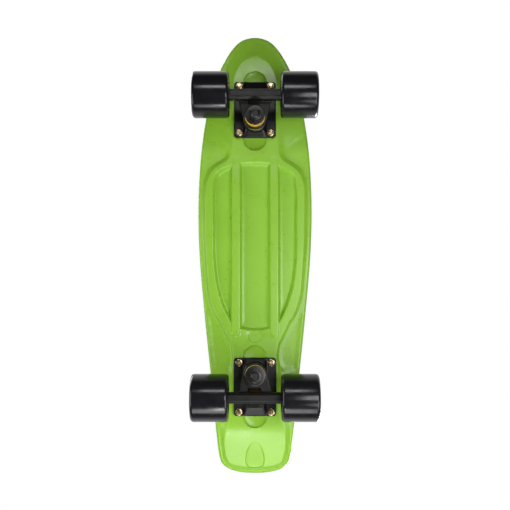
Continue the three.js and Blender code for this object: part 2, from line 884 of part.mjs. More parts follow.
function makeTruck(parent, name, centreY, turn) {
  const truck = new THREE.Group();
  truck.position.y = centreY;
  truck.rotation.z = turn;
  parent.add(truck);
  const onKingpin = placedGroup(kingpinFrame);
  const onPivot = placedGroup(pivotFrame);
  const onAxle = placedGroup(axleFrame);
  truck.add(onKingpin, onPivot, onAxle);

  addPiece(truck, `${name}_baseplate`, baseplateGeometry(), blackMetal());
  addPiece(truck, `${name}_hanger`, hangerGeometry(), blackMetal());
  addPiece(onPivot, `${name}_pivot_cup`, pivotCupGeometry(), blackUrethane());
  addPiece(onKingpin, `${name}_kingpin`, kingpinGeometry(), blackMetal());

  const nut = hexNut(kingpinNutWidth, kingpinNutHeight, kingpinRadius + fitGap);
  addPiece(onKingpin, `${name}_kingpin_nut`, nut, blackMetal())
    .position.z = kingpinNutHead - kingpinNutHeight;
  const boardBushing = bushingGeometry(boardBushingHeight);
  addPiece(onKingpin, `${name}_board_side_bushing`, boardBushing, yellowUrethane())
    .position.z = boardBushingFoot;
  const roadBushing = bushingGeometry(roadBushingHeight);
  addPiece(onKingpin, `${name}_road_side_bushing`, roadBushing, yellowUrethane())
    .position.z = roadBushingHead - roadBushingHeight;
  const boardWasher = cupWasherGeometry(cupWasherRadius);
  addPiece(onKingpin, `${name}_board_side_cup_washer`, boardWasher, blackMetal())
    .position.z = boardWasherFoot;
  const roadWasher = cupWasherGeometry(cupWasherSmallRadius);
  addPiece(onKingpin, `${name}_road_side_cup_washer`, roadWasher, blackMetal())
    .position.z = roadWasherHead - cupWasherThickness;

  addPiece(onAxle, `${name}_axle`, axleGeometry(), steel());
  for (const side of [-1, 1]) {
    const sideName = side * Math.cos(turn) > 0 ? 'right' : 'left';
    const stem = `${name}_${sideName}`;
    const centre = (side * wheelTrack) / 2;
    const innerFoot = side > 0 ? -bearingEnd : spacerLength / 2;
    const outerFoot = side > 0 ? spacerLength / 2 : -bearingEnd;
    const nutFoot = side > 0 ? axleNutFoot : -axleNutFoot - axleNutHeight;
    addPiece(onAxle, `${stem}_wheel`, wheelGeometry(), blackWheel()).position.z = centre;
    addPiece(onAxle, `${stem}_inner_bearing`, bearingGeometry(), steel()).position.z = centre + innerFoot;
    addPiece(onAxle, `${stem}_outer_bearing`, bearingGeometry(), steel()).position.z = centre + outerFoot;
    addPiece(onAxle, `${stem}_bearing_sleeve`, sleeveGeometry(), steel()).position.z = centre;
    const axleNut = hexNut(axleNutWidth, axleNutHeight, axleRadius + fitGap);
    addPiece(onAxle, `${stem}_axle_nut`, axleNut, steel()).position.z = nutFoot;
  }

  for (const along of [-1, 1]) {
    for (const across of [-1, 1]) {
      const sideName = across * Math.cos(turn) > 0 ? 'right' : 'left';
      const endName = along > 0 ? 'outer' : 'inner';
      const place = new THREE.Group();
      place.position.set((across * boltSpacingAcross) / 2, (along * boltSpacingAlong) / 2, 0);
      truck.add(place);
      addPiece(place, `${name}_${endName}_${sideName}_bolt`, boltGeometry(), zincYellow());
      const boltNut = hexNut(boltNutWidth, boltNutHeight, boltRadius + fitGap);
      addPiece(place, `${name}_${endName}_${sideName}_bolt_nut`, boltNut, zincYellow())
        .position.z = -fitGap - plateThickness - fitGap - boltNutHeight;
    }
  }
}

// The flats of the wheels stand on the floor, so the axles lie at a flat's distance above it.
const axleHeight = wheelRadius * Math.cos(Math.PI / wheelSides);
cruiser.position.z = axleHeight + axleDrop;
makeDeck(cruiser);
makeTruck(cruiser, 'front', frontTruckPlace, 0);
makeTruck(cruiser, 'rear', -rearTruckPlace, Math.PI);
cruiser.updateMatrixWorld(true);

export default cruiser;
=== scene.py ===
# A cruiser skateboard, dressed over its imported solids.
# Metres: X across the board, Y towards the nose, Z up from the floor. Sizes below are in millimetres.
import math

import bmesh
import bpy
import numpy as np
from mathutils import Matrix, Vector
from mathutils.geometry import delaunay_2d_cdt


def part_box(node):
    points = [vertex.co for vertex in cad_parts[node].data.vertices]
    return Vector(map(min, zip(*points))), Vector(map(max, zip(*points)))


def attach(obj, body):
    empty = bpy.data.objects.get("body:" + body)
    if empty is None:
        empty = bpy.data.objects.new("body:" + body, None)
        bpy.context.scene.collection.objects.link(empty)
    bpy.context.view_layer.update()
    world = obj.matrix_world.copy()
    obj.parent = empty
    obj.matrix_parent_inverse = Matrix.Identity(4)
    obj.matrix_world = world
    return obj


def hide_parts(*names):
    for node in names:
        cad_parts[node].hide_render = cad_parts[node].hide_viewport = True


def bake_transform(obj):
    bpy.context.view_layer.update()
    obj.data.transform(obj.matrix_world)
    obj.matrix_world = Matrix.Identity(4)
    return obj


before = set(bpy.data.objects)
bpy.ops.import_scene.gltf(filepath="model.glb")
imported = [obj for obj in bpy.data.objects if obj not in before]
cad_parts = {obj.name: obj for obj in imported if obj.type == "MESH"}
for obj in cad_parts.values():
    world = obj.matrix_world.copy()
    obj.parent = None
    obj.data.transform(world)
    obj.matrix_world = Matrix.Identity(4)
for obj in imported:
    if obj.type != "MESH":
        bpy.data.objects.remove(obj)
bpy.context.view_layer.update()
mm = 0.001
scene = bpy.context.scene
print("frame loaded:", len(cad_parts), "nodes")


# Small tools for meshes

sharpAngle = math.radians(35)


def welded(points, faces, grain=0.002):
    # points closer than the grain become one, and faces that fall together go
    points = np.asarray(points, float)
    keys = np.round(points / grain).astype(np.int64)
    _, first, where = np.unique(keys, axis=0, return_index=True, return_inverse=True)
    where = where.reshape(-1)
    kept = []
    for face in faces:
        loop = [int(where[i]) for i in face]
        loop = [v for i, v in enumerate(loop) if v != loop[i - 1]]
        if len(set(loop)) > 2:
            kept.append(loop)
    return points[first], kept


def joinedParts(parts):
    points, faces = [], []
    for partPoints, partFaces in parts:
        start = len(points)
        points.extend([tuple(p) for p in partPoints])
        faces.extend([[i + start for i in face] for face in partFaces])
    return points, faces


def turnedPart(profile, sides, closed=False):
    # a profile of (radius, height) turned about Z; radius zero makes a pole
    points, faces = [], []
    rings = []
    for radius, height in profile:
        if radius < 1e-6:
            rings.append([len(points)] * sides)
            points.append((0, 0, height))
        else:
            rings.append(list(range(len(points), len(points) + sides)))
            for i in range(sides):
                angle = 2 * math.pi * i / sides
                points.append((radius * math.cos(angle), radius * math.sin(angle), height))
    pairs = list(zip(rings, rings[1:] + ([rings[0]] if closed else [])))
    for low, high in pairs[:len(rings) if closed else len(rings) - 1]:
        for i in range(sides):
            j = (i + 1) % sides
            loop = [low[i], low[j], high[j], high[i]]
            loop = [v for k, v in enumerate(loop) if v != loop[k - 1]]
            if len(loop) > 2:
                faces.append(loop)
    return points, faces


def moved(part, matrix):
    points, faces = part
    return [tuple(matrix @ Vector(p)) for p in points], faces


def ridesOn(piece, body, slotName, *nodes):
    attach(piece, body)
    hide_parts(*nodes)


def addNode(tree, kind, values=None, links=None, **settings):
    # one node: its settings, its input values, and what feeds its inputs
    node = tree.nodes.new(kind)
    for key, value in settings.items():
        setattr(node, key, value)
    for key, value in (values or {}).items():
        node.inputs[key].default_value = value
    for key, source in (links or {}).items():
        tree.links.new(source, node.inputs[key])
    return node


def linear(hexText):
    # an sRGB hex value as the linear colour that Blender works in
    parts = [int(hexText[i:i + 2], 16) / 255 for i in (0, 2, 4)]
    return tuple(c / 12.92 if c <= 0.04045 else ((c + 0.055) / 1.055) ** 2.4 for c in parts) + (1.0,)


# The deck's outline, and how it bends. Places along the board are measured from its middle.

deck = {
    "length": 564,
    "width": 145.4,
    "underside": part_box("front_baseplate")[1].z / mm + 0.3,
    "treadTop": 11.8,
    "flange": 4,
    "noseRise": 6,
    "noseFlat": 221,
    "tailFlat": 221.5,
    "tailBend": 12,
    "tailAngle": 20,
    "outline": [
        (1, 0), (0.9835, 0.24), (0.942, 0.404), (0.85, 0.609), (0.74, 0.767), (0.62, 0.87),
        (0.446, 0.96), (0.226, 1), (0.005, 0.978), (-0.289, 0.8785), (-0.58, 0.759), (-0.803, 0.672),
        (-0.905, 0.632), (-0.95, 0.584), (-0.978, 0.468), (-0.9945, 0.27), (-1, 0),
    ],
    "outlineSteps": 12,
    "frontTruck": 182,
    "rearTruck": -168.5,
    "boltAcross": 20.15,
    "boltAlong": 30.5,
    "sharpAngle": 28,
}


def smoothLoop(control, steps):
    # a closed centripetal spline through the control points
    points = [Vector(p) for p in control]
    count = len(points)
    loop = []
    for i in range(count):
        a, b, c, d = (points[(i + k - 1) % count] for k in range(4))
        before, span, after = (max((q - p).length ** 0.5, 1e-6) for p, q in ((a, b), (b, c), (c, d)))
        leave = ((b - a) / before - (c - a) / (before + span) + (c - b) / span) * span
        arrive = ((c - b) / span - (d - b) / (span + after) + (d - c) / after) * span
        for step in range(steps):
            t = step / steps
            point = b + leave * t + (3 * (c - b) - 2 * leave - arrive) * t ** 2
            loop.append(point + (2 * (b - c) + leave + arrive) * t ** 3)
    return np.array([tuple(p) for p in loop])


def mirrored(right):
    # right half from nose to tail, given as (x, y), and its mirror image; runs anticlockwise
    left = [(-x, y) for x, y in reversed(right) if x > 1e-6]
    return list(reversed(list(right) + left))


outline = smoothLoop(
    mirrored([(across * deck["width"] / 2, along * deck["length"] / 2) for along, across in deck["outline"]]),
    deck["outlineSteps"],
)
ahead = np.roll(outline, -1, axis=0) - np.roll(outline, 1, axis=0)
ahead /= np.linalg.norm(ahead, axis=1)[:, None]
inward = np.stack([-ahead[:, 1], ahead[:, 0]], axis=1)


def insetOutline(inset):
    return outline + inward * np.asarray(inset, float).reshape(-1, 1)


def riseAt(y):
    # the nose lifts in a long curve, the tail past a short bend
    y = np.asarray(y, float)
    slope = math.tan(math.radians(deck["tailAngle"]))
    past = -y - deck["tailFlat"]
    bend = deck["tailBend"]
    tail = np.where(past > bend, slope * past, slope * np.clip(past + bend, 0, None) ** 2 / (4 * bend))
    lift = np.clip(y - deck["noseFlat"], 0, None) / (deck["length"] / 2 - deck["noseFlat"])
    return tail + deck["noseRise"] * lift ** 2


def filletedRamp(t, start=0.3, end=0.3):
    # nought to one in a straight slope, rounded over a share of it at its start and at its end
    t = np.clip(t, 0, 1)
    slope = 1 / (1 - start / 2 - end / 2)
    early, late = slope * t ** 2 / (2 * start), 1 - slope * (1 - t) ** 2 / (2 * end)
    return np.where(t < start, early, np.where(t > 1 - end, late, slope * (t - start / 2)))


def insideLoop(points, loop):
    x, y = points[:, 0, None], points[:, 1, None]
    ax, ay = loop[:, 0], loop[:, 1]
    bx, by = np.roll(ax, -1), np.roll(ay, -1)
    crosses = (ay > y) != (by > y)
    slope = np.where(by == ay, 1, by - ay)
    return (crosses & (x < (bx - ax) * (y - ay) / slope + ax)).sum(axis=1) % 2 == 1


def depthInside(points, loop, chunk=4000):
    # distance to the loop, above nought inside it and below nought outside
    a, b = loop, np.roll(loop, -1, axis=0)
    along = b - a
    lengthSquared = (along ** 2).sum(axis=1)
    best = np.empty(len(points))
    for start in range(0, len(points), chunk):
        part = points[start:start + chunk]
        toward = part[:, None, :] - a[None]
        t = np.clip((toward * along[None]).sum(axis=2) / lengthSquared[None], 0, 1)
        gap = toward - t[:, :, None] * along[None]
        best[start:start + chunk] = np.sqrt((gap ** 2).sum(axis=2).min(axis=1))
    return np.where(insideLoop(points, loop), best, -best)


def circle(centreX, centreY, radius, sides):
    angles = 2 * np.pi * np.arange(sides) / sides
    return np.stack([centreX + radius * np.cos(angles), centreY + radius * np.sin(angles)], axis=1)


def stadium(centreX, rear, front, radius, gap=3.0):
    # a slot's outline, from the two centres of its round ends
    turns = max(8, int(math.pi * radius / gap))
    straight = max(2, int((front - rear) / gap))
    loop = []
    for centre, start, other in ((front, 0, rear), (rear, math.pi, front)):
        for i in range(turns):
            angle = start + math.pi * i / turns
            loop.append((centreX + radius * math.cos(angle), centre + radius * math.sin(angle)))
        edge = centreX - radius if start == 0 else centreX + radius
        for i in range(straight):
            loop.append((edge, centre + (other - centre) * i / straight))
    return np.array(loop)


def resampled(loop, gap):
    # the same closed line with points about a gap apart
    closed = np.vstack([loop, loop[:1]])
    walked = np.concatenate([[0], np.cumsum(np.linalg.norm(np.diff(closed, axis=0), axis=1))])
    count = max(12, int(round(walked[-1] / gap)))
    at = np.linspace(0, walked[-1], count, endpoint=False)
    return np.stack([np.interp(at, walked, closed[:, k]) for k in range(2)], axis=1)


def addLoops(points, faces, loops):
    # each loop's points, and the loop itself as a face for the triangulation
    for loop in loops:
        faces.append(list(range(len(points), len(points) + len(loop))))
        points.extend(Vector(p) for p in loop)


def triangulated(points, edges, faces, grain=1e-5):
    # flat points, their triangles, and the numbers of the given faces that each triangle lies in
    flat, _, triangles, _, _, origins = delaunay_2d_cdt(points, edges, faces, 1, grain, True)
    return flat, triangles, [set(origin) for origin in origins]


boltPlaces = [
    (x, y)
    for centre in (deck["frontTruck"], deck["rearTruck"])
    for y in (centre + deck["boltAlong"], centre - deck["boltAlong"])
    for x in (-deck["boltAcross"], deck["boltAcross"])
]
print("outline:", len(outline), "points")


# The tread: a net of ribs with a sunk, crowned cell in each mesh

tread = {
    "fieldInset": 10.4,
    "outlineRib": 1.7,
    "ribWidth": 1.7,
    "pitchAcross": 17.5,
    "pitchAlong": 10.07,
    "nodeAlong": 79.8,
    "ringRadius": 6.7,
    "mouthRadius": 5.25,
    "mouthSides": 24,
    "padCentre": 5.25,
    "padRadius": 29.4,
    "padGroove": 1.2,
    "padEdge": 31.6,
    "padSides": 96,
    "grooveDepth": 0.8,
    "grooveFloorShares": (0.3, 0.7),
    "smallestCell": 5,
    "cellBevel": 0.15,
    "cellDepth": 1.0,
    "cellBevelShare": 0.96,
    "cellFloorShare": 0.86,
    "cellCrown": 0.3,
    "cellCrownShare": 0.45,
}


def cellLoops(fieldLoop):
    # the net's meshes, each narrower than its place by half a rib all round
    halfAcross, halfAlong = tread["pitchAcross"] / 2, tread["pitchAlong"] / 2
    toSide = halfAcross * halfAlong / math.hypot(halfAcross, halfAlong)
    share = 1 - tread["ribWidth"] / 2 / toSide
    columns = int(deck["width"] / 2 / halfAcross)
    rowsAhead = int((deck["length"] / 2 - tread["nodeAlong"]) / halfAlong)
    rowsBehind = int((deck["length"] / 2 + tread["nodeAlong"]) / halfAlong)
    cells = []
    for i in range(-columns, columns + 1):
        for j in range(-rowsBehind, rowsAhead + 1):
            if (i + j) % 2:
                x, y = i * halfAcross, tread["nodeAlong"] + j * halfAlong
                cells.append(np.array([
                    (x + share * halfAcross * a, y + share * halfAlong * b)
                    for a, b in ((1, 0), (0, 1), (-1, 0), (0, -1))
                ]))
    inField = insideLoop(np.vstack(cells), fieldLoop).reshape(-1, 4).any(axis=1)
    return [cell for cell, keep in zip(cells, inField) if keep]


def withoutScraps(corners, triangles, sunk):
    # a scrap of a cell too small to be moulded stays level with the ribs
    sharing = {}
    for number, triangle in enumerate(triangles):
        if sunk[number]:
            for k in range(3):
                sharing.setdefault(frozenset((triangle[k], triangle[k - 1])), []).append(number)
    group = list(range(len(triangles)))

    def rootOf(number):
        while group[number] != number:
            number = group[number]
        return number

    for pair in sharing.values():
        if len(pair) == 2:
            group[rootOf(pair[0])] = rootOf(pair[1])
    area = {}
    for number, triangle in enumerate(triangles):
        if sunk[number]:
            a, b, c = corners[list(triangle)]
            size = abs((b[0] - a[0]) * (c[1] - a[1]) - (b[1] - a[1]) * (c[0] - a[0])) / 2
            area[rootOf(number)] = area.get(rootOf(number), 0) + size
    return [flag and area[rootOf(number)] > tread["smallestCell"] for number, flag in enumerate(sunk)]


def treadPlan():
    # first the net of cells inside its outline rib, then the bands round it
    def padCircle(radius):
        return circle(0, tread["padCentre"], radius, tread["padSides"])

    def boltCircles(radius):
        return [circle(x, y, radius, tread["mouthSides"]) for x, y in boltPlaces]

    fieldLoop = insetOutline(tread["fieldInset"] + tread["outlineRib"])
    loops = [fieldLoop, *boltCircles(tread["ringRadius"]), padCircle(tread["padEdge"])]
    points, faces = [], []
    addLoops(points, faces, loops + cellLoops(fieldLoop))
    flat, triangles, origins = triangulated(points, [], faces)
    kept, sunk = [], []
    for triangle, origin in zip(triangles, origins):
        if 0 in origin and not origin & set(range(1, len(loops))):
            kept.append(triangle)
            sunk.append(any(o >= len(loops) for o in origin))
    sunk = withoutScraps(np.array([tuple(p) for p in flat]), kept, sunk)

    mouths = boltCircles(tread["mouthRadius"])
    grooveRim = padCircle(tread["padRadius"] + tread["padGroove"])
    points = [Vector(p) for p in flat]
    faces = [list(triangle) for triangle in kept]
    firstBand = len(faces)
    addLoops(points, faces, [
        insetOutline(tread["fieldInset"]), *mouths, grooveRim, padCircle(tread["padRadius"]),
    ])
    plan, triangles, origins = triangulated(points, [], faces)
    inMouths = set(range(firstBand + 1, firstBand + 1 + len(mouths)))
    grooveNumber, padNumber = len(faces) - 2, len(faces) - 1
    faces, cellFlags = [], []
    for triangle, origin in zip(triangles, origins):
        inGroove = grooveNumber in origin and padNumber not in origin
        if firstBand in origin and not inGroove and not origin & inMouths:
            faces.append(list(triangle))
            cellFlags.append(any(o < firstBand and sunk[o] for o in origin))
    planPoints = [(p[0], p[1], deck["treadTop"]) for p in plan]
    return planPoints, faces, cellFlags


def loftedLoops(loops):
    # quads between loops of as many points, each an array of (x, y, z)
    points, faces = [], []
    count = len(loops[0])
    for loop in loops:
        points.extend([tuple(p) for p in loop])
    for ring in range(len(loops) - 1):
        for i in range(count):
            j = (i + 1) % count
            low, high = ring * count, (ring + 1) * count
            faces.append([low + i, low + j, high + j, high + i])
    return points, faces


def atHeight(loop, height):
    return np.column_stack([loop, np.full(len(loop), float(height))])


# The rim, as (inset, height) from the tread over the edge to the flange below

rim = {
    "section": [
        (10.4, 11.8), (10.15, 11.72), (9.9, 11.3), (9.6, 11.02), (9.2, 11.0), (8.9, 11.2), (8.5, 11.6),
        (7.9, 11.86), (6.8, 11.98), (5.4, 12.0), (4.2, 11.98), (3.2, 11.8), (2.1, 11.35), (1.2, 10.7),
        (0.55, 9.95), (0.15, 9.1), (0, 8.1), (0.1, 7.1), (0.4, 6.1), (0.95, 5.2), (1.7, 4.5), (2.6, 4.1),
        (3.5, 4.0),
    ],
}


def rimPart():
    return loftedLoops([atHeight(insetOutline(inset), height) for inset, height in rim["section"]])


# The underside: a plateau with a pocket, two long ribs, and a channel under each truck

under = {
    "lipInset": 3.5,
    "lipStep": 0.8,
    "lipWidth": 1.8,
    "lipFade": 2.5,
    "footInset": 4.5,
    "topInset": 10.6,
    "tailFootInset": 3.8,
    "tailTopInset": 9.8,
    # where an edge follows the outline: from, to, and every which point of it
    "topSides": (85, -50, 8),
    "topTail": (-237, -269, 5),
    "footNose": (276, 171, 5),
    "footSides": (89, -51, 8),
    "footHeel": (-167, -212, 6),
    "footTail": (-222, -277, 6),
    # where it leaves the outline, nose to tail, as (x, y)
    "topFront": [
        (0, 253), (9, 250), (17, 243.5), (22.5, 235), (26, 225), (27.8, 213), (28.6, 195), (29, 165),
        (29.2, 145), (29.4, 131), (31, 123), (37, 115.5), (47.5, 109), (55.6, 101), (60, 91),
    ],
    "topRear": [
        (56.2, -54.5), (53, -65.5), (47.5, -79), (40.5, -90.1), (33.4, -105.5), (28.8, -114), (26.9, -123),
        (26.6, -131.5), (27.5, -142.5), (28, -164.5), (28.4, -196.5), (29.8, -205.5), (33, -212),
        (35.8, -219), (36.7, -227),
    ],
    "footFront": [
        (62.2, 165), (60, 154), (55.5, 148), (48, 144), (41.5, 138), (38.6, 131), (39.8, 123.6),
        (50.5, 116.4), (60.5, 108), (66, 95),
    ],
    "footRear": [
        (60.8, -56.5), (57.5, -68.5), (52, -81.5), (45, -92.5), (37.8, -108), (33.4, -116), (31, -124.5),
        (30.6, -132.5), (31.4, -139.5), (34.5, -144.5), (40, -146.5), (46, -148), (50.5, -152.5),
        (52.6, -161.5),
    ],
    "edgeSteps": 6,
    "edgeGap": 2.6,
    # a slope this narrow has even fillets; one wider by the next value breaks sharply and dies out softly
    "narrowSlope": 7,
    "slopeRange": 15,
    "fillet": 0.3,
    "sharpFillet": 0.12,
    "softFillet": 0.6,
    "tailFillet": 0.5,
    "tailFrom": -205,
    "tailRange": 15,
    # as shares of the pocket's half width and of its reach, nose to tail
    "pocket": [
        (1, 0), (0.965, 0.58), (0.875, 0.93), (0.76, 1), (0.35, 1), (-0.12, 0.985), (-0.5, 0.88),
        (-0.78, 0.69), (-0.93, 0.5), (-1, 0),
    ],
    "pocketHalfWidth": 54,
    "pocketFront": 116.5,
    "pocketRear": 99.5,
    "pocketDepth": 5,
    "pocketDraft": 4.3,
    "frontDraft": 6.2,
    "frontFillet": 0.18,
    "frontFrom": 70,
    "frontRange": 35,
    "ribCentre": 24.3,
    "ribTop": 4.4,
    "ribFoot": 7.75,
    "ribFront": 132,
    "ribRear": 114.5,
    "ribEndSlope": 7,
    "ribProud": 1.5,
    "ribFade": 34,
    "ribEndRange": 4,
    "ribFlat": 0.4,
    "ribBlend": 0.9,
    "channelLength": 103,
    "channelRadius": 15,
    "channelDepth": 3.6,
    "tabRadius": 9.2,
    "tabRear": 114.5,
    "tabFront": 89.5,
    "tabDepth": 0.9,
    "tabDraft": 1.2,
    "scoop": [
        (0, -237), (4.5, -239), (8, -244), (10.8, -251.5), (12.4, -259.5), (12.2, -265.5), (10.6, -271),
        (6, -273), (0, -273.5),
    ],
    "scoopDepth": 2.0,
    "scoopDraft": 1.6,
    "scoopFrom": -236.5,
    "scoopRange": 34,
    "shankRadius": 2.7,
    "shankTop": 8.4,
    "mouthFoot": 11.2,
}
# lines that the skin's triangles follow, so that each slope and fillet has its own edges
skinLines = {
    "slopeShares": (0.03, 0.15, 0.3, 0.5, 0.7, 0.85, 0.97),
    "pocketInsets": (-0.6, 0, 0.6, 1.2, 2.0, 2.8, 3.6, 4.3, 5.0, 5.7, 6.4),
    "pocketGap": 2.2,
    "ribGrowth": (-1.2, -0.2, 0.5, 1.2, 2.0, 2.8, 3.6, 4.6),
    "ribEndGrowth": 0.9,
    "channelRadii": (15.4, 14.9, 14.3, 13.4, 12, 10, 7.5, 4.5, 1.5),
    "channelGap": 2.4,
    "scoopShares": (1.04, 0.95, 0.88, 0.8),
    "tabRadii": (9.6, 9.2, 8.7, 8.1),
    "tabSteps": 20,
    "tabEnd": -98,
    # the longest step along a line that is still an edge, and how far lines keep from the lip
    "jump": 7,
    "lipGap": 0.5,
    # the grid between the lines: its spacing along a row and, as a share of that, from row to row,
    # how far it keeps from the lip and from other points, and how near points fall together
    "spacing": 3.2,
    "rowShare": 0.866,
    "gridLipGap": 2,
    "clearance": 1.7,
    "grain": 1e-4,
}


def alongOutline(inset, stretch):
    # some points of the outline's right side between two places, moved inwards, nose to tail
    front, rear, every = under[stretch]
    side = [(x, y) for x, y in insetOutline(under[inset]) if x > 0 and rear < y < front]
    return sorted(side, key=lambda p: -p[1])[::every]


def edgeLoop(right):
    return resampled(smoothLoop(mirrored(right), under["edgeSteps"]), under["edgeGap"])


plateau = edgeLoop(
    under["topFront"] + alongOutline("topInset", "topSides")
    + under["topRear"] + alongOutline("tailTopInset", "topTail")
    + [(0, under["tailTopInset"] - deck["length"] / 2)]
)
foot = edgeLoop(
    [(0, deck["length"] / 2 - under["footInset"])] + alongOutline("footInset", "footNose")
    + under["footFront"] + alongOutline("footInset", "footSides")
    + under["footRear"] + alongOutline("footInset", "footHeel")
    + alongOutline("tailFootInset", "footTail")
    + [(0, under["tailFootInset"] - deck["length"] / 2)]
)
pocketLoop = smoothLoop(mirrored([
    (across * under["pocketHalfWidth"], along * (under["pocketFront"] if along > 0 else under["pocketRear"]))
    for along, across in under["pocket"]
]), 10)
scoopLoop = smoothLoop(mirrored(under["scoop"]), 5)
tabLoop = stadium(0, under["tabRadius"] - under["tabRear"], -under["tabFront"], under["tabRadius"])
ribRear = under["ribEndSlope"] + under["ribFoot"] - under["ribRear"]
ribFront = under["ribFront"] - under["ribFoot"] - under["ribEndSlope"]


def offsetLoop(loop, inset):
    # every point of an anticlockwise line moved inwards
    ahead = np.roll(loop, -1, axis=0) - np.roll(loop, 1, axis=0)
    ahead /= np.linalg.norm(ahead, axis=1)[:, None]
    return loop + inset * np.stack([-ahead[:, 1], ahead[:, 0]], axis=1)


def channelEnds(centre):
    straight = under["channelLength"] / 2 - under["channelRadius"]
    return centre - straight, centre + straight


def slopeShare(points):
    # nought on the plateau and one from the foot outwards, and how far a point lies from both
    beyondTop = np.clip(-depthInside(points, plateau), 0, None)
    withinFoot = np.clip(depthInside(points, foot), 0, None)
    reach = np.maximum(beyondTop + withinFoot, 1e-6)
    wide = np.clip((reach - under["narrowSlope"]) / under["slopeRange"], 0, 1)
    tail = np.clip((under["tailFrom"] - points[:, 1]) / under["tailRange"], 0, 1)
    fillet, tailFillet = under["fillet"], under["tailFillet"] * tail
    start = (fillet + (under["sharpFillet"] - fillet) * wide) * (1 - tail) + tailFillet
    end = (fillet + (under["softFillet"] - fillet) * wide) * (1 - tail) + tailFillet
    return filletedRamp(beyondTop / reach, start, end), np.minimum(beyondTop, withinFoot + 3 * wide)


def slopeHeight(points, softest=11, turns=6):
    # wide slopes are averaged over a small ring, which takes the crease out of their middle
    share, room = slopeShare(points)
    soft = room > 2
    if soft.any():
        near, reach = points[soft], 0.9 * np.minimum(room[soft], softest)[:, None]
        angles = np.arange(turns) * 2 * math.pi / turns
        ring = [near + reach * np.array([math.cos(angle), math.sin(angle)]) for angle in angles]
        share[soft] = (share[soft] + sum(slopeShare(spot)[0] for spot in ring)) / (turns + 1)
    return deck["flange"] * share


def lipHeight(points):
    outside = np.clip(-depthInside(points, foot) / under["lipFade"], 0, 1)
    edge = depthInside(points, outline)
    return under["lipStep"] * filletedRamp((edge - under["footInset"]) / under["lipWidth"]) * outside


def pocketShare(points):
    # one on the pocket's floor; its wall leans more, and is less rounded, towards the nose
    ahead = np.clip((points[:, 1] - under["frontFrom"]) / under["frontRange"], 0, 1)
    draft = under["pocketDraft"] + (under["frontDraft"] - under["pocketDraft"]) * ahead
    rounding = under["fillet"] + (under["frontFillet"] - under["fillet"]) * ahead
    return filletedRamp(depthInside(points, pocketLoop) / draft, rounding, rounding)


def channelHeight(points, centre):
    # a trough with a round bottom and round ends
    rear, front = channelEnds(centre)
    within = np.clip(depthInside(points, stadium(0, rear, front, under["channelRadius"], 1.5)), 0, None)
    share = np.clip(within / (under["channelRadius"] - 1), 0, 1)
    return under["channelDepth"] * np.sqrt(np.clip(1 - (1 - share) ** 2, 0, 1))


def ribHeight(points, side):
    # the rib's own skin: a flat top that fades out towards the nose, and drafted walls
    y = points[:, 1]
    topLine = stadium(side * under["ribCentre"], ribRear, ribFront, under["ribTop"])
    beyond = np.clip(-depthInside(points, topLine), 0, None)
    endShare = np.clip(np.maximum(y - ribFront, ribRear - y) / under["ribEndRange"], 0, 1)
    reach = under["ribFoot"] - under["ribTop"] + under["ribEndSlope"] * endShare
    slope = (under["pocketDepth"] + under["ribProud"]) / reach
    proud = under["ribProud"] * filletedRamp((ribFront + under["ribTop"] - y) / under["ribFade"])
    return slope * np.maximum(beyond - under["ribFlat"], 0) - proud


def undersideHeight(points):
    inPocket = pocketShare(points)
    height = slopeHeight(points) + lipHeight(points) + under["pocketDepth"] * inPocket
    inTab = filletedRamp(depthInside(points, tabLoop) / under["tabDraft"])
    height += under["tabDepth"] * inTab * (1 - inPocket)
    for centre in (deck["frontTruck"], deck["rearTruck"]):
        height += channelHeight(points, centre)
    deeper = np.clip((under["scoopFrom"] - points[:, 1]) / under["scoopRange"], 0, 1)
    scooped = filletedRamp(depthInside(points, scoopLoop) / under["scoopDraft"])
    height += under["scoopDepth"] * deeper * scooped
    for side in (-1, 1):
        rib = ribHeight(points, side)
        mix = np.clip(0.5 + 0.5 * (height - rib) / under["ribBlend"], 0, 1)
        height = height * (1 - mix) + rib * mix - under["ribBlend"] * mix * (1 - mix)
    return height


def followedLines():
    nearest = ((plateau[:, None] - foot[None]) ** 2).sum(axis=2).argmin(axis=1)
    lines = [plateau + (foot[nearest] - plateau) * share for share in skinLines["slopeShares"]]
    lines += [plateau, foot]
    for inset in skinLines["pocketInsets"]:
        lines.append(resampled(offsetLoop(pocketLoop, inset), skinLines["pocketGap"]))
    for side in (-1, 1):
        for grow in skinLines["ribGrowth"]:
            more = max(grow, 0) * skinLines["ribEndGrowth"]
            line = stadium(side * under["ribCentre"], ribRear - more, ribFront + more, under["ribTop"] + grow)
            lines.append(line)
    for centre in (deck["frontTruck"], deck["rearTruck"]):
        for radius in skinLines["channelRadii"]:
            lines.append(stadium(0, *channelEnds(centre), radius, skinLines["channelGap"]))
    middle = scoopLoop.mean(axis=0)
    lines.append(scoopLoop)
    lines += [middle + (scoopLoop - middle) * share for share in skinLines["scoopShares"]]
    tabCentre, tabEnd = under["tabRadius"] - under["tabRear"], skinLines["tabEnd"]
    angles = np.linspace(math.pi, 2 * math.pi, skinLines["tabSteps"])
    for radius in skinLines["tabRadii"]:
        arc = np.stack([radius * np.cos(angles), tabCentre + radius * np.sin(angles)], axis=1)
        lines.append(np.vstack([arc, [[radius, tabEnd], [-radius, tabEnd]]]))
    return lines


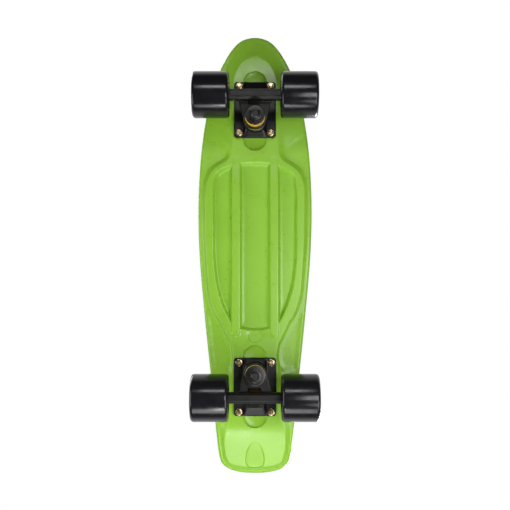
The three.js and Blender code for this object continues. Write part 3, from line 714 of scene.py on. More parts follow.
def undersidePart(chunk=500):
    holes = [circle(x, y, under["shankRadius"], tread["mouthSides"]) for x, y in boltPlaces]
    points, faces, edges = [], [], []
    addLoops(points, faces, [insetOutline(under["lipInset"]), *holes])
    safe = insetOutline(under["lipInset"] + skinLines["lipGap"])
    for loop in followedLines():
        # no edge where a line jumps or runs out over the lip
        lengths = np.linalg.norm(np.roll(loop, -1, axis=0) - loop, axis=1)
        keep = insideLoop(loop, safe)
        keep &= np.roll(keep, -1) & (lengths < skinLines["jump"])
        start, count = len(points), len(loop)
        points.extend(Vector(p) for p in loop)
        edges += [(start + i, start + (i + 1) % count) for i in range(count) if keep[i]]

    # an even grid of triangles fills what lies between the lines
    used = np.array([tuple(p) for p in points])
    spacing, rowGap = skinLines["spacing"], skinLines["spacing"] * skinLines["rowShare"]
    columns = int(deck["width"] / 2 / spacing) + 1
    rows = int(deck["length"] / 2 / rowGap) + 1
    spots = np.array([
        (column * spacing + (row % 2) * spacing / 2, row * rowGap)
        for row in range(-rows, rows + 1) for column in range(-columns, columns + 1)
    ])
    spots = spots[insideLoop(spots, insetOutline(under["lipInset"] + skinLines["gridLipGap"]))]
    for start in range(0, len(spots), chunk):
        part = spots[start:start + chunk]
        clear = ((part[:, None] - used[None]) ** 2).sum(axis=2).min(axis=1) > skinLines["clearance"] ** 2
        points.extend(Vector(p) for p in part[clear])
    flat, triangles, origins = triangulated(points, edges, faces, skinLines["grain"])
    inHoles = set(range(1, len(holes) + 1))
    kept = [
        list(reversed(triangle)) for triangle, origin in zip(triangles, origins)
        if 0 in origin and not origin & inHoles
    ]
    plan = np.array([tuple(p) for p in flat])
    onLip = depthInside(plan, outline) < under["lipInset"] + 0.3
    return np.column_stack([plan, np.where(onLip, deck["flange"], undersideHeight(plan))]), kept


def boltHolePart(x, y):
    shank = circle(x, y, under["shankRadius"], tread["mouthSides"])
    mouth = circle(x, y, tread["mouthRadius"], tread["mouthSides"])
    return loftedLoops([
        np.column_stack([shank, undersideHeight(shank)]),
        atHeight(shank, under["shankTop"]),
        atHeight(mouth, under["mouthFoot"]),
        atHeight(mouth, deck["treadTop"]),
    ])


def padGroovePart():
    def ring(share, height):
        radius = tread["padRadius"] + tread["padGroove"] * share
        return atHeight(circle(0, tread["padCentre"], radius, tread["padSides"]), height)

    top, low = deck["treadTop"], deck["treadTop"] - tread["grooveDepth"]
    floor = [ring(share, low) for share in tread["grooveFloorShares"]]
    return loftedLoops([ring(0, top), *floor, ring(1, top)])


def deckMesh():
    # the pieces of skin meet in one closed mesh, and then all of it bends with the nose and the tail
    planPoints, treadFaces, cellFlags = treadPlan()
    parts = [(planPoints, treadFaces), rimPart(), undersidePart(), padGroovePart()]
    parts += [boltHolePart(x, y) for x, y in boltPlaces]
    points, faces = joinedParts(parts)
    points = np.array(points)
    points[:, 2] += riseAt(points[:, 1]) + deck["underside"]
    build = bmesh.new()
    cellLayer = build.faces.layers.int.new("cell")
    corners = [build.verts.new(tuple(p)) for p in points * mm]
    for number, face in enumerate(faces):
        skin = build.faces.new([corners[i] for i in face])
        skin[cellLayer] = int(number < len(cellFlags) and cellFlags[number])
    bmesh.ops.remove_doubles(build, verts=build.verts, dist=0.006 * mm)
    bmesh.ops.dissolve_degenerate(build, edges=build.edges, dist=0.001 * mm)
    bmesh.ops.recalc_face_normals(build, faces=build.faces)
    openEdges = sum(1 for edge in build.edges if len(edge.link_faces) != 2)
    mesh = bpy.data.meshes.new("deck")
    build.to_mesh(mesh)
    build.free()
    print("deck skin:", len(mesh.polygons), "faces,", openEdges, "open edges")
    return mesh


# Geometry nodes

def newTree(name, inputs):
    tree = bpy.data.node_groups.new(name, "GeometryNodeTree")
    tree.interface.new_socket("Geometry", in_out="INPUT", socket_type="NodeSocketGeometry")
    for label, (kind, value) in inputs.items():
        socket = tree.interface.new_socket(label, in_out="INPUT", socket_type=kind)
        if value is not None:
            socket.default_value = value
    tree.interface.new_socket("Geometry", in_out="OUTPUT", socket_type="NodeSocketGeometry")
    return tree, addNode(tree, "NodeGroupInput"), addNode(tree, "NodeGroupOutput")


def treeResult(piece, tree, values):
    # the tree's result becomes the piece's own plain mesh
    modifier = piece.modifiers.new(tree.name, "NODES")
    modifier.node_group = tree
    for item in tree.interface.items_tree:
        if item.item_type == "SOCKET" and item.in_out == "INPUT" and item.name in values:
            modifier[item.identifier] = values[item.name]
    bpy.context.view_layer.update()
    graph = bpy.context.evaluated_depsgraph_get()
    mesh = bpy.data.meshes.new_from_object(piece.evaluated_get(graph))
    piece.modifiers.remove(modifier)
    old = piece.data
    piece.data = mesh
    bpy.data.meshes.remove(old)
    mesh.name = piece.name
    return piece


def cellTree():
    # each marked cell sinks past a small bevel, and its floor rises again to a low crown
    tree, given, result = newTree("tread cells", {
        "Bevel": ("NodeSocketFloat", tread["cellBevel"] * mm),
        "Depth": ("NodeSocketFloat", tread["cellDepth"] * mm),
        "Crown": ("NodeSocketFloat", tread["cellCrown"] * mm),
        "Bevel share": ("NodeSocketFloat", tread["cellBevelShare"]),
        "Floor share": ("NodeSocketFloat", tread["cellFloorShare"]),
        "Crown share": ("NodeSocketFloat", tread["cellCrownShare"]),
        "Material": ("NodeSocketMaterial", None),
    })
    flag = addNode(tree, "GeometryNodeInputNamedAttribute", {"Name": "cell"}, data_type="BOOLEAN")
    geometry, chosen = given.outputs["Geometry"], flag.outputs["Attribute"]
    steps = (("Bevel", "Bevel share", -1), ("Depth", "Floor share", -1), ("Crown", "Crown share", 1))
    for step, share, sign in steps:
        height = addNode(tree, "ShaderNodeMath", {1: sign}, {0: given.outputs[step]}, operation="MULTIPLY")
        offset = addNode(tree, "ShaderNodeCombineXYZ", None, {"Z": height.outputs[0]})
        raised = addNode(tree, "GeometryNodeExtrudeMesh", {"Individual": False, "Offset Scale": 1.0}, {
            "Mesh": geometry, "Selection": chosen, "Offset": offset.outputs[0],
        }, mode="FACES")
        scaled = addNode(tree, "GeometryNodeScaleElements", None, {
            "Geometry": raised.outputs["Mesh"], "Selection": raised.outputs["Top"],
            "Scale": given.outputs[share],
        })
        geometry, chosen = scaled.outputs["Geometry"], raised.outputs["Top"]
    dressed = addNode(tree, "GeometryNodeSetMaterial", None, {
        "Geometry": geometry, "Material": given.outputs["Material"],
    })
    real = addNode(tree, "GeometryNodeRealizeInstances", None, {"Geometry": dressed.outputs["Geometry"]})
    tree.links.new(real.outputs["Geometry"], result.inputs["Geometry"])
    return tree


# Materials

def surface(name, look):
    # two tones mixed by a cloudy pattern, roughness that wanders, and a fine bump; sizes in millimetres
    material = bpy.data.materials.new(name)
    material.use_nodes = True
    tree = material.node_tree
    tree.nodes.clear()
    output = addNode(tree, "ShaderNodeOutputMaterial")
    place = addNode(tree, "ShaderNodeTexCoord").outputs["Object"]
    patterns = {}
    for size, detail in (("cloudSize", 4.0), ("wearSize", 3.0), ("grainSize", 2.0)):
        noise = addNode(tree, "ShaderNodeTexNoise", {
            "Scale": 1 / (look[size] * mm), "Detail": detail,
        }, {"Vector": place})
        patterns[size] = noise.outputs["Fac"]
    colour = addNode(tree, "ShaderNodeMix", {
        6: linear(look["dark"]), 7: linear(look["light"]),
    }, {"Factor": patterns["cloudSize"]}, data_type="RGBA")
    roughness = addNode(tree, "ShaderNodeMapRange", {
        "From Min": 0.3, "From Max": 0.7, "To Min": look["smooth"], "To Max": look["rough"],
    }, {"Value": patterns["wearSize"]})
    bump = addNode(tree, "ShaderNodeBump", {
        "Strength": 1.0, "Distance": look["grainHeight"] * mm,
    }, {"Height": patterns["grainSize"]})
    shader = addNode(tree, "ShaderNodeBsdfPrincipled", {
        "Metallic": look.get("metallic", 0.0), "IOR": look.get("ior", 1.5),
    }, {
        "Base Color": colour.outputs[2], "Roughness": roughness.outputs["Result"],
        "Normal": bump.outputs["Normal"],
    })
    tree.links.new(shader.outputs["BSDF"], output.inputs["Surface"])
    return material


# Polypropylene from a polished mould: an even, slightly waxy green with a satin gloss.
greenPlastic = surface("moulded polypropylene", {
    "dark": "84B92D", "light": "90C53A", "cloudSize": 30, "smooth": 0.26, "rough": 0.34, "wearSize": 14,
    "grainSize": 0.9, "grainHeight": 0.005, "ior": 1.49,
})
# Black enamel sprayed on cast aluminium: deep black, soft orange peel in the reflections.
blackPaint = surface("black enamel on cast aluminium", {
    "dark": "070708", "light": "0E0E10", "cloudSize": 12, "smooth": 0.3, "rough": 0.4, "wearSize": 7,
    "grainSize": 1.6, "grainHeight": 0.02, "ior": 1.42,
})
# The hangers' powder coat: satin, a shade greyer than the enamel, with a fine pebbled skin.
satinPaint = surface("satin black powder coat", {
    "dark": "0A0A0B", "light": "121213", "cloudSize": 9, "smooth": 0.36, "rough": 0.46, "wearSize": 6,
    "grainSize": 1.1, "grainHeight": 0.02, "ior": 1.4,
})
# Blackened steel: the same black with a duller, greyer shine.
blackSteel = surface("blackened steel", {
    "dark": "101010", "light": "1E1D1B", "cloudSize": 6, "smooth": 0.26, "rough": 0.36, "wearSize": 4,
    "grainSize": 0.6, "grainHeight": 0.003, "ior": 1.5,
})
# Yellow chromated zinc on steel: pale gold that drifts a little towards green and pink.
yellowZinc = surface("yellow zinc plate", {
    "dark": "B08A55", "light": "EBDDB4", "cloudSize": 3, "smooth": 0.18, "rough": 0.34, "wearSize": 2,
    "grainSize": 0.3, "grainHeight": 0.004, "metallic": 1.0,
})
# Bright steel, turned and ground: pale grey, with reflections that the fine tool marks soften.
turnedSteel = surface("turned steel", {
    "dark": "B4B4B2", "light": "D2D2CF", "cloudSize": 4, "smooth": 0.2, "rough": 0.32, "wearSize": 2,
    "grainSize": 0.3, "grainHeight": 0.003, "metallic": 1.0,
})
# Cast polyurethane with a polished tyre: black, near mirror smooth, with long soft reflections.
wheelUrethane = surface("cast black polyurethane", {
    "dark": "131316", "light": "19191D", "cloudSize": 20, "smooth": 0.14, "rough": 0.22, "wearSize": 10,
    "grainSize": 2.5, "grainHeight": 0.006, "ior": 1.42,
})
# Softer cast polyurethane, yellow right through: a warm colour with a dull, rubbery shine.
yellowUrethane = surface("cast yellow polyurethane", {
    "dark": "D8A208", "light": "F0C020", "cloudSize": 6, "smooth": 0.3, "rough": 0.42, "wearSize": 4,
    "grainSize": 0.7, "grainHeight": 0.01, "ior": 1.5,
})
# Moulded black nylon: dull, and a little paler than the paint round it.
blackNylon = surface("moulded black nylon", {
    "dark": "0C0C0D", "light": "151516", "cloudSize": 5, "smooth": 0.38, "rough": 0.5, "wearSize": 3,
    "grainSize": 0.5, "grainHeight": 0.01, "ior": 1.53,
})
print("materials made")


# The deck

deckPiece = bpy.data.objects.new("moulded_deck", deckMesh())
scene.collection.objects.link(deckPiece)
treeResult(deckPiece, cellTree(), {
    "Depth": (tread["cellDepth"] - tread["cellBevel"]) * mm,
    "Material": greenPlastic,
})
deckPiece.data.shade_smooth()
deckPiece.data.set_sharp_from_angle(angle=math.radians(deck["sharpAngle"]))
ridesOn(deckPiece, "board", "deck_plastic", "deck")
print("deck dressed:", len(deckPiece.data.polygons), "faces")


# Turned, hexagonal and cast parts

def closedPiece(name, parts, material):
    # several closed parts, in millimetres, as one piece with every face turned outwards
    points, faces = joinedParts(parts)
    mesh = bpy.data.meshes.new(name)
    mesh.from_pydata([tuple(p) for p in np.asarray(points, float) * mm], [], [list(f) for f in faces])
    mesh.update()
    mesh.shade_smooth()
    mesh.set_sharp_from_angle(angle=sharpAngle)
    if material:
        mesh.materials.append(material)
    build = bmesh.new()
    build.from_mesh(mesh)
    bmesh.ops.recalc_face_normals(build, faces=build.faces)
    build.to_mesh(mesh)
    build.free()
    piece = bpy.data.objects.new(name, mesh)
    scene.collection.objects.link(piece)
    return piece


def arcPoints(start, stop, step):
    # the cosine and sine of each angle on an arc, in degrees
    return [(math.cos(math.radians(a)), math.sin(math.radians(a))) for a in range(start, stop + 1, step)]


def mirroredProfile(half):
    # a profile and its mirror image across height nought
    return half + [(r, -z) for r, z in reversed(half)]


def shifted(profile, foot):
    return [(r, foot + z) for r, z in profile]


def stackedPart(loops):
    # loops of as many points, joined by quads and closed at both ends
    points, faces = loftedLoops([np.asarray(loop, float) for loop in loops])
    count = len(loops[0])
    last = len(points) - count
    return points, faces + [list(range(count))[::-1], [last + i for i in range(count)]]


def prismAcross(section, width):
    # a (y, z) section drawn out along X
    return stackedPart([[(x, y, z) for y, z in section] for x in (-width / 2, width / 2)])


def roundedRectangle(width, length, corner, height, steps=6):
    loop = []
    for centreX, centreY, start in ((1, 1, 0), (-1, 1, 90), (-1, -1, 180), (1, -1, 270)):
        for i in range(steps + 1):
            angle = math.radians(start + 90 * i / steps)
            x = centreX * (width / 2 - corner) + corner * math.cos(angle)
            loop.append((x, centreY * (length / 2 - corner) + corner * math.sin(angle), height))
    return loop


def threadRows(radius, start, end, pitch, depth):
    # the grooves of a thread, as rows of a turned profile: a crest, and a root past the middle of the pitch
    rows = []
    count = int(abs(end - start) / pitch)
    step = math.copysign(pitch, end - start)
    for i in range(count):
        foot = start + i * step
        rows += [(radius, foot), (radius, foot + step * 0.3), (radius - depth, foot + step * 0.65)]
    return rows


lockNut = {
    "faceShare": 0.97,
    "chamferAngle": 30,
    # the collar, as (share of its radius, how far below its top in collar heights)
    "collarShare": 0.86,
    "collar": [(1, 1), (0.99, 0.35), (0.93, 0.08), (0.84, 0)],
    "boreChamfer": 0.3,
    "sides": 48,
}


def hexagonPart(across, height, bore, collar):
    # a lock nut: bevelled corners on both faces, and a round collar on the upper one
    sides = lockNut["sides"]
    hexTop = height - collar
    chamfer = math.tan(math.radians(lockNut["chamferAngle"]))
    faceRadius = across / 2 * lockNut["faceShare"]
    collarRadius = faceRadius * lockNut["collarShare"]

    def ring(radius, level):
        return [tuple(p) for p in atHeight(circle(0, 0, radius, sides), level)]

    def hexRing(up):
        loop = []
        for angle in np.linspace(0, 2 * math.pi, sides, endpoint=False):
            radius = across / 2 / math.cos((angle + math.pi / 6) % (math.pi / 3) - math.pi / 6)
            drop = max(radius - faceRadius, 0) * chamfer
            loop.append((radius * math.cos(angle), radius * math.sin(angle), hexTop - drop if up else drop))
        return loop

    loops = [ring(bore, 0), ring(faceRadius, 0), hexRing(False), hexRing(True), ring(faceRadius, hexTop)]
    loops += [ring(collarRadius * share, height - collar * below) for share, below in lockNut["collar"]]
    loops += [ring(bore + lockNut["boreChamfer"], height), ring(bore, height - lockNut["boreChamfer"])]
    points, faces = loftedLoops([np.array(loop) for loop in loops])
    last = len(points) - sides
    faces += [[last + i, last + (i + 1) % sides, (i + 1) % sides, i] for i in range(sides)]
    return points, faces


def castMesh(name, solids, cutters, material):
    # the solids melt into one skin with soft edges, as a casting has, and are then drilled
    piece = closedPiece(name, solids, material)
    remesh = piece.modifiers.new("one skin", "REMESH")
    remesh.mode = "VOXEL"
    remesh.voxel_size = truck["castGrain"] * mm
    soften = piece.modifiers.new("soft edges", "SMOOTH")
    soften.factor = 0.5
    soften.iterations = truck["castSmoothing"]
    drill = closedPiece("drill", cutters, None)
    cut = piece.modifiers.new("drilled", "BOOLEAN")
    cut.operation = "DIFFERENCE"
    cut.object = drill
    cut.solver = "EXACT"
    cut.use_self = True
    bpy.context.view_layer.update()
    graph = bpy.context.evaluated_depsgraph_get()
    mesh = bpy.data.meshes.new_from_object(piece.evaluated_get(graph))
    bpy.data.objects.remove(piece)
    bpy.data.objects.remove(drill)
    mesh.shade_smooth()
    mesh.set_sharp_from_angle(angle=math.radians(truck["castSharpAngle"]))
    if not mesh.materials:
        mesh.materials.append(material)
    return mesh


def placedMesh(name, mesh, matrix):
    copy = mesh.copy()
    copy.name = name
    copy.transform(matrix)
    piece = bpy.data.objects.new(name, copy)
    scene.collection.objects.link(piece)
    return piece


# Trucks. Local Y points away from the middle of the board, local Z up from the deck's underside.

truck = {
    "gap": 0.3,
    "plate": (53.3, 72.2, 5),
    "plateCorner": 4,
    "plateEdges": (0.6, 0.8),
    "boltHole": 2.7,
    "blockWidth": 29,
    "blockInsets": (0.3, 0.7),
    "blockDraft": 3.2,
    "blockEndSlope": 10.5,
    "blockHeight": 5.2,
    "bossRadius": 14.6,
    "bossDraft": 1.6,
    "housingWall": 2.3,
    "housingEdge": 0.7,
    "housingDepth": 4.5,
    "kingpinPlace": 18,
    "kingpinLean": -2,
    "ringDrop": 36,
    "kingpinRadius": 4.75,
    # radius, height, and how far it lies below the deck
    "kingpinHead": (7.8, 5.2, 1.2),
    "kingpinNut": (14.3, 7),
    "kingpinCollar": 1.6,
    "kingpinPast": 2,
    "kingpinEdge": 1,
    # pitch and depth, and how far it reaches past the nut
    "kingpinThread": (1.25, 0.55),
    "kingpinThreadPast": 4,
    "boardBushing": 13.5,
    "roadBushing": 10,
    # radius, waist, bore, edge
    "bushing": (12.3, 10.9, 5.1, 1.2),
    "bushingFlare": 1.4,
    # radius on the board's side and on the road's, thickness
    "washer": (12.4, 11, 1.2),
    "washerBevel": 0.15,
    # radius, bore, thickness
    "ring": (14.5, 8, 8),
    "ringEdge": 1,
    "pivotPlace": 11,
    "pivotDrop": 13,
    "pivotRadius": 5.2,
    # radius, and the lip's thickness and width
    "cup": (7, 1.4, 1.6),
    "neckWidth": 15,
    # where it starts along the pivot, and how much further it is round
    "neck": (8, 3),
    "webWidth": 44,
    # width, height, chamfer
    "bar": (13, 15, 3),
    "barLength": 81.4,
    "axlePlace": 8,
    "axleDrop": 45,
    "axleRadius": 4,
    "axleEnd": 75,
    "axleEdge": 0.8,
    "axleThread": (1.0, 0.45),
    "axleThreadLength": 8,
    "axleNut": (12.7, 7),
    "axleCollar": 1.7,
    "axleNutFoot": 67.3,
    "castGrain": 0.55,
    "castSmoothing": 4,
    "castSharpAngle": 50,
}
steer = math.atan2(truck["ringDrop"] - truck["pivotDrop"], truck["pivotPlace"] + truck["kingpinPlace"])
onKingpin = (
    Matrix.Translation((0, -truck["kingpinPlace"], -truck["ringDrop"]))
    @ Matrix.Rotation(math.radians(truck["kingpinLean"]), 4, "X")
)
onPivot = (
    Matrix.Translation((0, truck["pivotPlace"], -truck["pivotDrop"]))
    @ Matrix.Rotation(math.pi / 2 + steer, 4, "X")
)
onAxle = (
    Matrix.Translation((0, truck["axlePlace"], -truck["axleDrop"]))
    @ Matrix.Rotation(math.pi / 2, 4, "Y")
)
boardFoot = truck["ring"][2] / 2 + truck["gap"]
boardWasher = boardFoot + truck["boardBushing"] + truck["gap"]
bossFace = boardWasher + truck["washer"][2] + truck["gap"]
roadFoot = -boardFoot - truck["roadBushing"]
roadWasher = roadFoot - truck["gap"] - truck["washer"][2]
nutFoot = roadWasher - truck["gap"] - truck["kingpinNut"][1]
kingpinEnd = nutFoot - truck["kingpinPast"]


def rodPart(radius, low, high, sides=40):
    return turnedPart([(0, low), (radius, low), (radius, high), (0, high)], sides)


def baseplateMesh():
    width, length, thick = truck["plate"]
    top, face = -truck["gap"], -truck["gap"] - thick

    def plateLoop(edge, height):
        return roundedRectangle(width - 2 * edge, length - 2 * edge, truck["plateCorner"] - edge, height)

    deckEdge, roadEdge = truck["plateEdges"]
    plate = stackedPart([
        plateLoop(deckEdge, top), plateLoop(0, top - deckEdge),
        plateLoop(0, face + roadEdge), plateLoop(roadEdge, face),
    ])
    blockWidth, draft, slope = truck["blockWidth"], truck["blockDraft"], truck["blockEndSlope"]
    sunkInset, faceInset = truck["blockInsets"]
    block = stackedPart([
        roundedRectangle(blockWidth, length - 2 * sunkInset, draft, face + 1),
        roundedRectangle(blockWidth, length - 2 * faceInset, draft, face),
        roundedRectangle(blockWidth - 2 * draft, length - 2 * slope, draft, face - truck["blockHeight"]),
    ])
    back = truck["ringDrop"] - truck["gap"] - thick / 2
    boss = turnedPart([
        (0, bossFace), (truck["bossRadius"] - truck["bossDraft"], bossFace),
        (truck["bossRadius"], back), (0, back),
    ], 48)
    cupRadius, mouth = truck["cup"][0] + truck["gap"], truck["housingDepth"]
    housingRadius, edge = cupRadius + truck["housingWall"], truck["housingEdge"]
    housing = turnedPart([
        (0, -housingRadius), (housingRadius, -housingRadius), (housingRadius, mouth - edge),
        (housingRadius - edge, mouth), (0, mouth),
    ], 48)
    # the shelf cuts the casting flat on the deck's side, and the rest are its drilled holes
    shelf = stackedPart([roundedRectangle(90, 120, 1, height) for height in (top - 0.01, 60)])
    cup = rodPart(cupRadius, -cupRadius, mouth + 6)
    bore = rodPart(truck["kingpinRadius"] + truck["gap"], bossFace - 6, 60, 32)
    holes = [
        moved(rodPart(truck["boltHole"], -12, 6, 24), Matrix.Translation((x, y, 0)))
        for x in (-deck["boltAcross"], deck["boltAcross"]) for y in (-deck["boltAlong"], deck["boltAlong"])
    ]
    return castMesh(
        "baseplate", [plate, block, moved(boss, onKingpin), moved(housing, onPivot)],
        [shelf, moved(cup, onPivot), moved(bore, onKingpin), *holes], blackPaint,
    )


def hangerMesh():
    radius, bore, thick = truck["ring"]
    edge, half = truck["ringEdge"], thick / 2
    ring = turnedPart([
        (0, -half), (radius - edge, -half), (radius, edge - half),
        (radius, half - edge), (radius - edge, half), (0, half),
    ], 56)
    side, webHalf = truck["kingpinPlace"] + truck["axlePlace"], truck["webWidth"] / 2
    webLoop = [(-radius, 0), (radius, 0), (webHalf, side), (-webHalf, side)]
    web = stackedPart([[(x, y, z) for x, y in webLoop] for z in (-half, half)])
    wide, high, chamfer = truck["bar"]
    centre, drop = truck["axlePlace"], -truck["axleDrop"]
    atSide, atFace = (wide / 2, high / 2 - chamfer), (wide / 2 - chamfer, high / 2)
    corners = [(-1, -1, atSide), (-1, -1, atFace), (1, -1, atFace), (1, -1, atSide)]
    corners += [(1, 1, atSide), (1, 1, atFace), (-1, 1, atFace), (-1, 1, atSide)]
    section = [(centre + a * corner[0], drop + b * corner[1]) for a, b, corner in corners]
    bar = prismAcross(section, truck["barLength"])

    def onAxis(along, above):
        point = onPivot @ Vector((0, above, along))
        return point.y, point.z

    # the neck runs from the pivot to the ring's edge and down to the bar
    start, length = truck["neck"]
    stemRadius, ringSide = truck["pivotRadius"], radius - truck["kingpinPlace"]
    neck = prismAcross([
        onAxis(start, -stemRadius), onAxis(start, stemRadius), onAxis(start + length, stemRadius),
        (ringSide, half - truck["ringDrop"]), (ringSide, -half - truck["ringDrop"]),
        (centre - wide / 2, drop), (centre + wide / 2, drop),
    ], truck["neckWidth"])
    ball = [(stemRadius * s, -stemRadius * c) for c, s in arcPoints(0, 90, 15)]
    stem = turnedPart([*ball, (stemRadius, start + length), (0, start + length)], 40)
    holes = [
        moved(rodPart(bore, -thick, thick, 48), onKingpin),
        moved(rodPart(truck["axleRadius"] + truck["gap"], -100, 100, 32), onAxle),
    ]
    return castMesh(
        "hanger", [moved(ring, onKingpin), moved(web, onKingpin), bar, neck, moved(stem, onPivot)],
        holes, satinPaint,
    )


def kingpinParts():
    radius, clearance = truck["kingpinRadius"], truck["gap"]
    headRadius, headHeight, headDrop = truck["kingpinHead"]
    top = truck["ringDrop"] - headDrop
    edge, threadEnd = truck["kingpinEdge"], nutFoot + truck["kingpinThreadPast"]
    pin = turnedPart([
        (0, kingpinEnd), (radius - edge, kingpinEnd), (radius - 0.3 * edge, kingpinEnd + 0.6 * edge),
        *threadRows(radius, kingpinEnd + 0.8 * edge, threadEnd, *truck["kingpinThread"]),
        (radius, threadEnd + 1), (radius, top - headHeight), (headRadius, top - headHeight),
        (headRadius, top - edge / 2), (headRadius - edge / 2, top), (0, top),
    ], 40)
    across, height = truck["kingpinNut"]
    # the collar of the lock nut faces the road
    nut = moved(
        hexagonPart(across, height, radius + 0.05, truck["kingpinCollar"]),
        Matrix.Translation((0, 0, nutFoot + height)) @ Matrix.Rotation(math.pi, 4, "X"),
    )
    washers = []
    (wide, narrow, thick), bevel = truck["washer"], truck["washerBevel"]
    for washerRadius, washerFoot in ((wide, boardWasher), (narrow, roadWasher)):
        rounded = [
            (washerRadius + thick * c * 0.95, thick / 2 + thick / 2 * s) for c, s in arcPoints(-90, 90, 30)
        ]
        profile = [(radius + clearance, bevel), (radius + 0.5, 0), *rounded]
        profile += [(radius + 0.5, thick), (radius + clearance, thick - bevel)]
        washers.append(turnedPart(shifted(profile, washerFoot), 56, closed=True))
    return [moved(part, onKingpin) for part in (pin, nut, *washers)]


def bushingPart(bushingFoot, height, ringIsLow):
    # its side draws in to a waist, and its bore widens towards the ring, which leans when the truck steers
    radius, waist, bore, edge = truck["bushing"]
    flare = truck["bushingFlare"]
    low, high = (bore + flare, bore) if ringIsLow else (bore, bore + flare)
    side = [
        (radius - (radius - waist) * math.sin(math.pi * share) ** 1.5, edge + (height - 2 * edge) * share)
        for share in np.linspace(0, 1, 17)
    ]
    corner = [(radius - edge * (1 - s), edge * (1 - c)) for c, s in arcPoints(0, 60, 30)]
    profile = [(low, 0.3), (low + 0.3, 0), *corner, *side]
    profile += [(r, height - z) for r, z in reversed(corner)] + [(high + 0.3, height), (high, height - 0.3)]
    return moved(turnedPart(shifted(profile, bushingFoot), 56, closed=True), onKingpin)


def cupParts():
    radius, lip, lipWidth = truck["cup"]
    bore = truck["pivotRadius"] + truck["gap"]
    foot, mouth = truck["housingDepth"] + truck["gap"], truck["housingDepth"] + truck["gap"] + lip
    ball = [(bore * c, -bore * s) for c, s in arcPoints(0, 75, 15)] + [(0, -bore)]
    profile = [
        (0, -radius), (radius - 0.5, -radius), (radius, 0.5 - radius), (radius, foot),
        (radius + lipWidth, foot), (radius + lipWidth, mouth - 0.5), (radius + lipWidth - 0.5, mouth),
        (bore + 0.4, mouth), (bore, mouth - 0.4), *ball,
    ]
    return [moved(turnedPart(profile, 48), onPivot)]


def axleParts():
    radius, end = truck["axleRadius"], truck["axleEnd"]
    edge, threadEnd = truck["axleEdge"], end - truck["axleThreadLength"]
    threads = threadRows(radius, end - edge - 0.1, threadEnd, *truck["axleThread"])
    half = [(0, end), (radius - edge, end), *threads, (radius, threadEnd - 1)]
    parts = [turnedPart(mirroredProfile(half)[::-1], 32)]
    across, height = truck["axleNut"]
    (spacerRadius, spacerHalf), (ringRadius, ringHalf) = wheel["spacer"], wheel["innerRing"]
    washerRadius, washerEnd = wheel["speedWasher"]
    sleeve = [
        (spacerRadius, spacerHalf), (ringRadius, spacerHalf), (ringRadius, ringHalf - 0.2),
        (ringRadius - 0.2, ringHalf), (washerRadius, ringHalf), (washerRadius, washerEnd - 0.15),
        (washerRadius - 0.15, washerEnd), (radius + truck["gap"], washerEnd),
    ]
    sleeve = [(r, -z) for r, z in reversed(sleeve)] + sleeve
    for side in (-1, 1):
        nut = hexagonPart(across, height, radius + 0.05, truck["axleCollar"])
        turn = Matrix.Identity(4) if side > 0 else Matrix.Rotation(math.pi, 4, "X")
        parts.append(moved(nut, turn @ Matrix.Translation((0, 0, truck["axleNutFoot"]))))
        parts.append(turnedPart(shifted(sleeve, side * wheel["track"] / 2), 40, closed=True))
    return [moved(part, onAxle) for part in parts]


# Wheels and bearings, turned about the axle

wheel = {
    "track": 108,
    "radius": 28.3,
    "halfWidth": 22.5,
    "edge": 4,
    # a shallow ring on each face, as (how far inside the rounded edge, how deep)
    "faceRing": [(1.4, 0), (1.7, 0.25), (2.3, 0.25), (2.6, 0)],
    "dishRadius": 16.5,
    # the recess's rounded mouth, as (how far outside its radius, how deep)
    "dishEdge": [(1, 0), (0.3, 0.25), (0, 0.9)],
    "hubRadius": 13.5,
    "hubHalf": 14,
    # the fillet between recess and hub, as (how far outside the hub's radius, how high over its face)
    "hubFillet": [(0.9, 1.2), (0.2, 0.35), (-0.5, 0)],
    "seatRadius": 11.3,
    "seatEdge": 0.4,
    "seatStep": 4.7,
    "coreBore": 8.5,
    "bearingFoot": 5,
    "bearingWidth": 7,
    "bearingRadius": 11,
    "bearingEdge": 0.4,
    # the shield, and the fine groove where it is pressed in, as (radius, how far below the face)
    "shield": [(6.3, 0.9), (6.5, 0.62), (8.3, 0.55), (8.6, 0.35), (8.8, 0.6), (9.1, 0.6), (9.2, 0.05)],
    # radius, and how far it reaches from the wheel's middle
    "spacer": (5, 5),
    "innerRing": (6, 12),
    "speedWasher": (5.6, 13),
    "sides": 96,
}


def wheelPart():
    radius, half, edge = wheel["radius"], wheel["halfWidth"], wheel["edge"]
    dish, hub, hubHalf = wheel["dishRadius"], wheel["hubRadius"], wheel["hubHalf"]
    seat, seatEdge, step = wheel["seatRadius"], wheel["seatEdge"], wheel["seatStep"]
    side = [
        *((radius - edge * (1 - c), half - edge * (1 - s)) for c, s in arcPoints(0, 90, 10)),
        *((radius - edge - inside, half - deep) for inside, deep in wheel["faceRing"]),
        *((dish + outside, half - deep) for outside, deep in wheel["dishEdge"]),
        *((hub + outside, hubHalf + above) for outside, above in wheel["hubFillet"]),
        (seat + seatEdge, hubHalf), (seat, hubHalf - seatEdge), (seat, step), (wheel["coreBore"], step),
    ]
    return turnedPart(mirroredProfile(side)[::-1], wheel["sides"], closed=True)


def bearingPart(bearingFoot):
    # the outer ring, with its shield set back from both faces
    radius, width, edge = wheel["bearingRadius"], wheel["bearingWidth"], wheel["bearingEdge"]
    half = [*wheel["shield"], (radius - edge, 0), (radius, edge)]
    profile = half + [(r, width - z) for r, z in reversed(half)]
    return turnedPart(shifted(profile, bearingFoot), 56, closed=True)


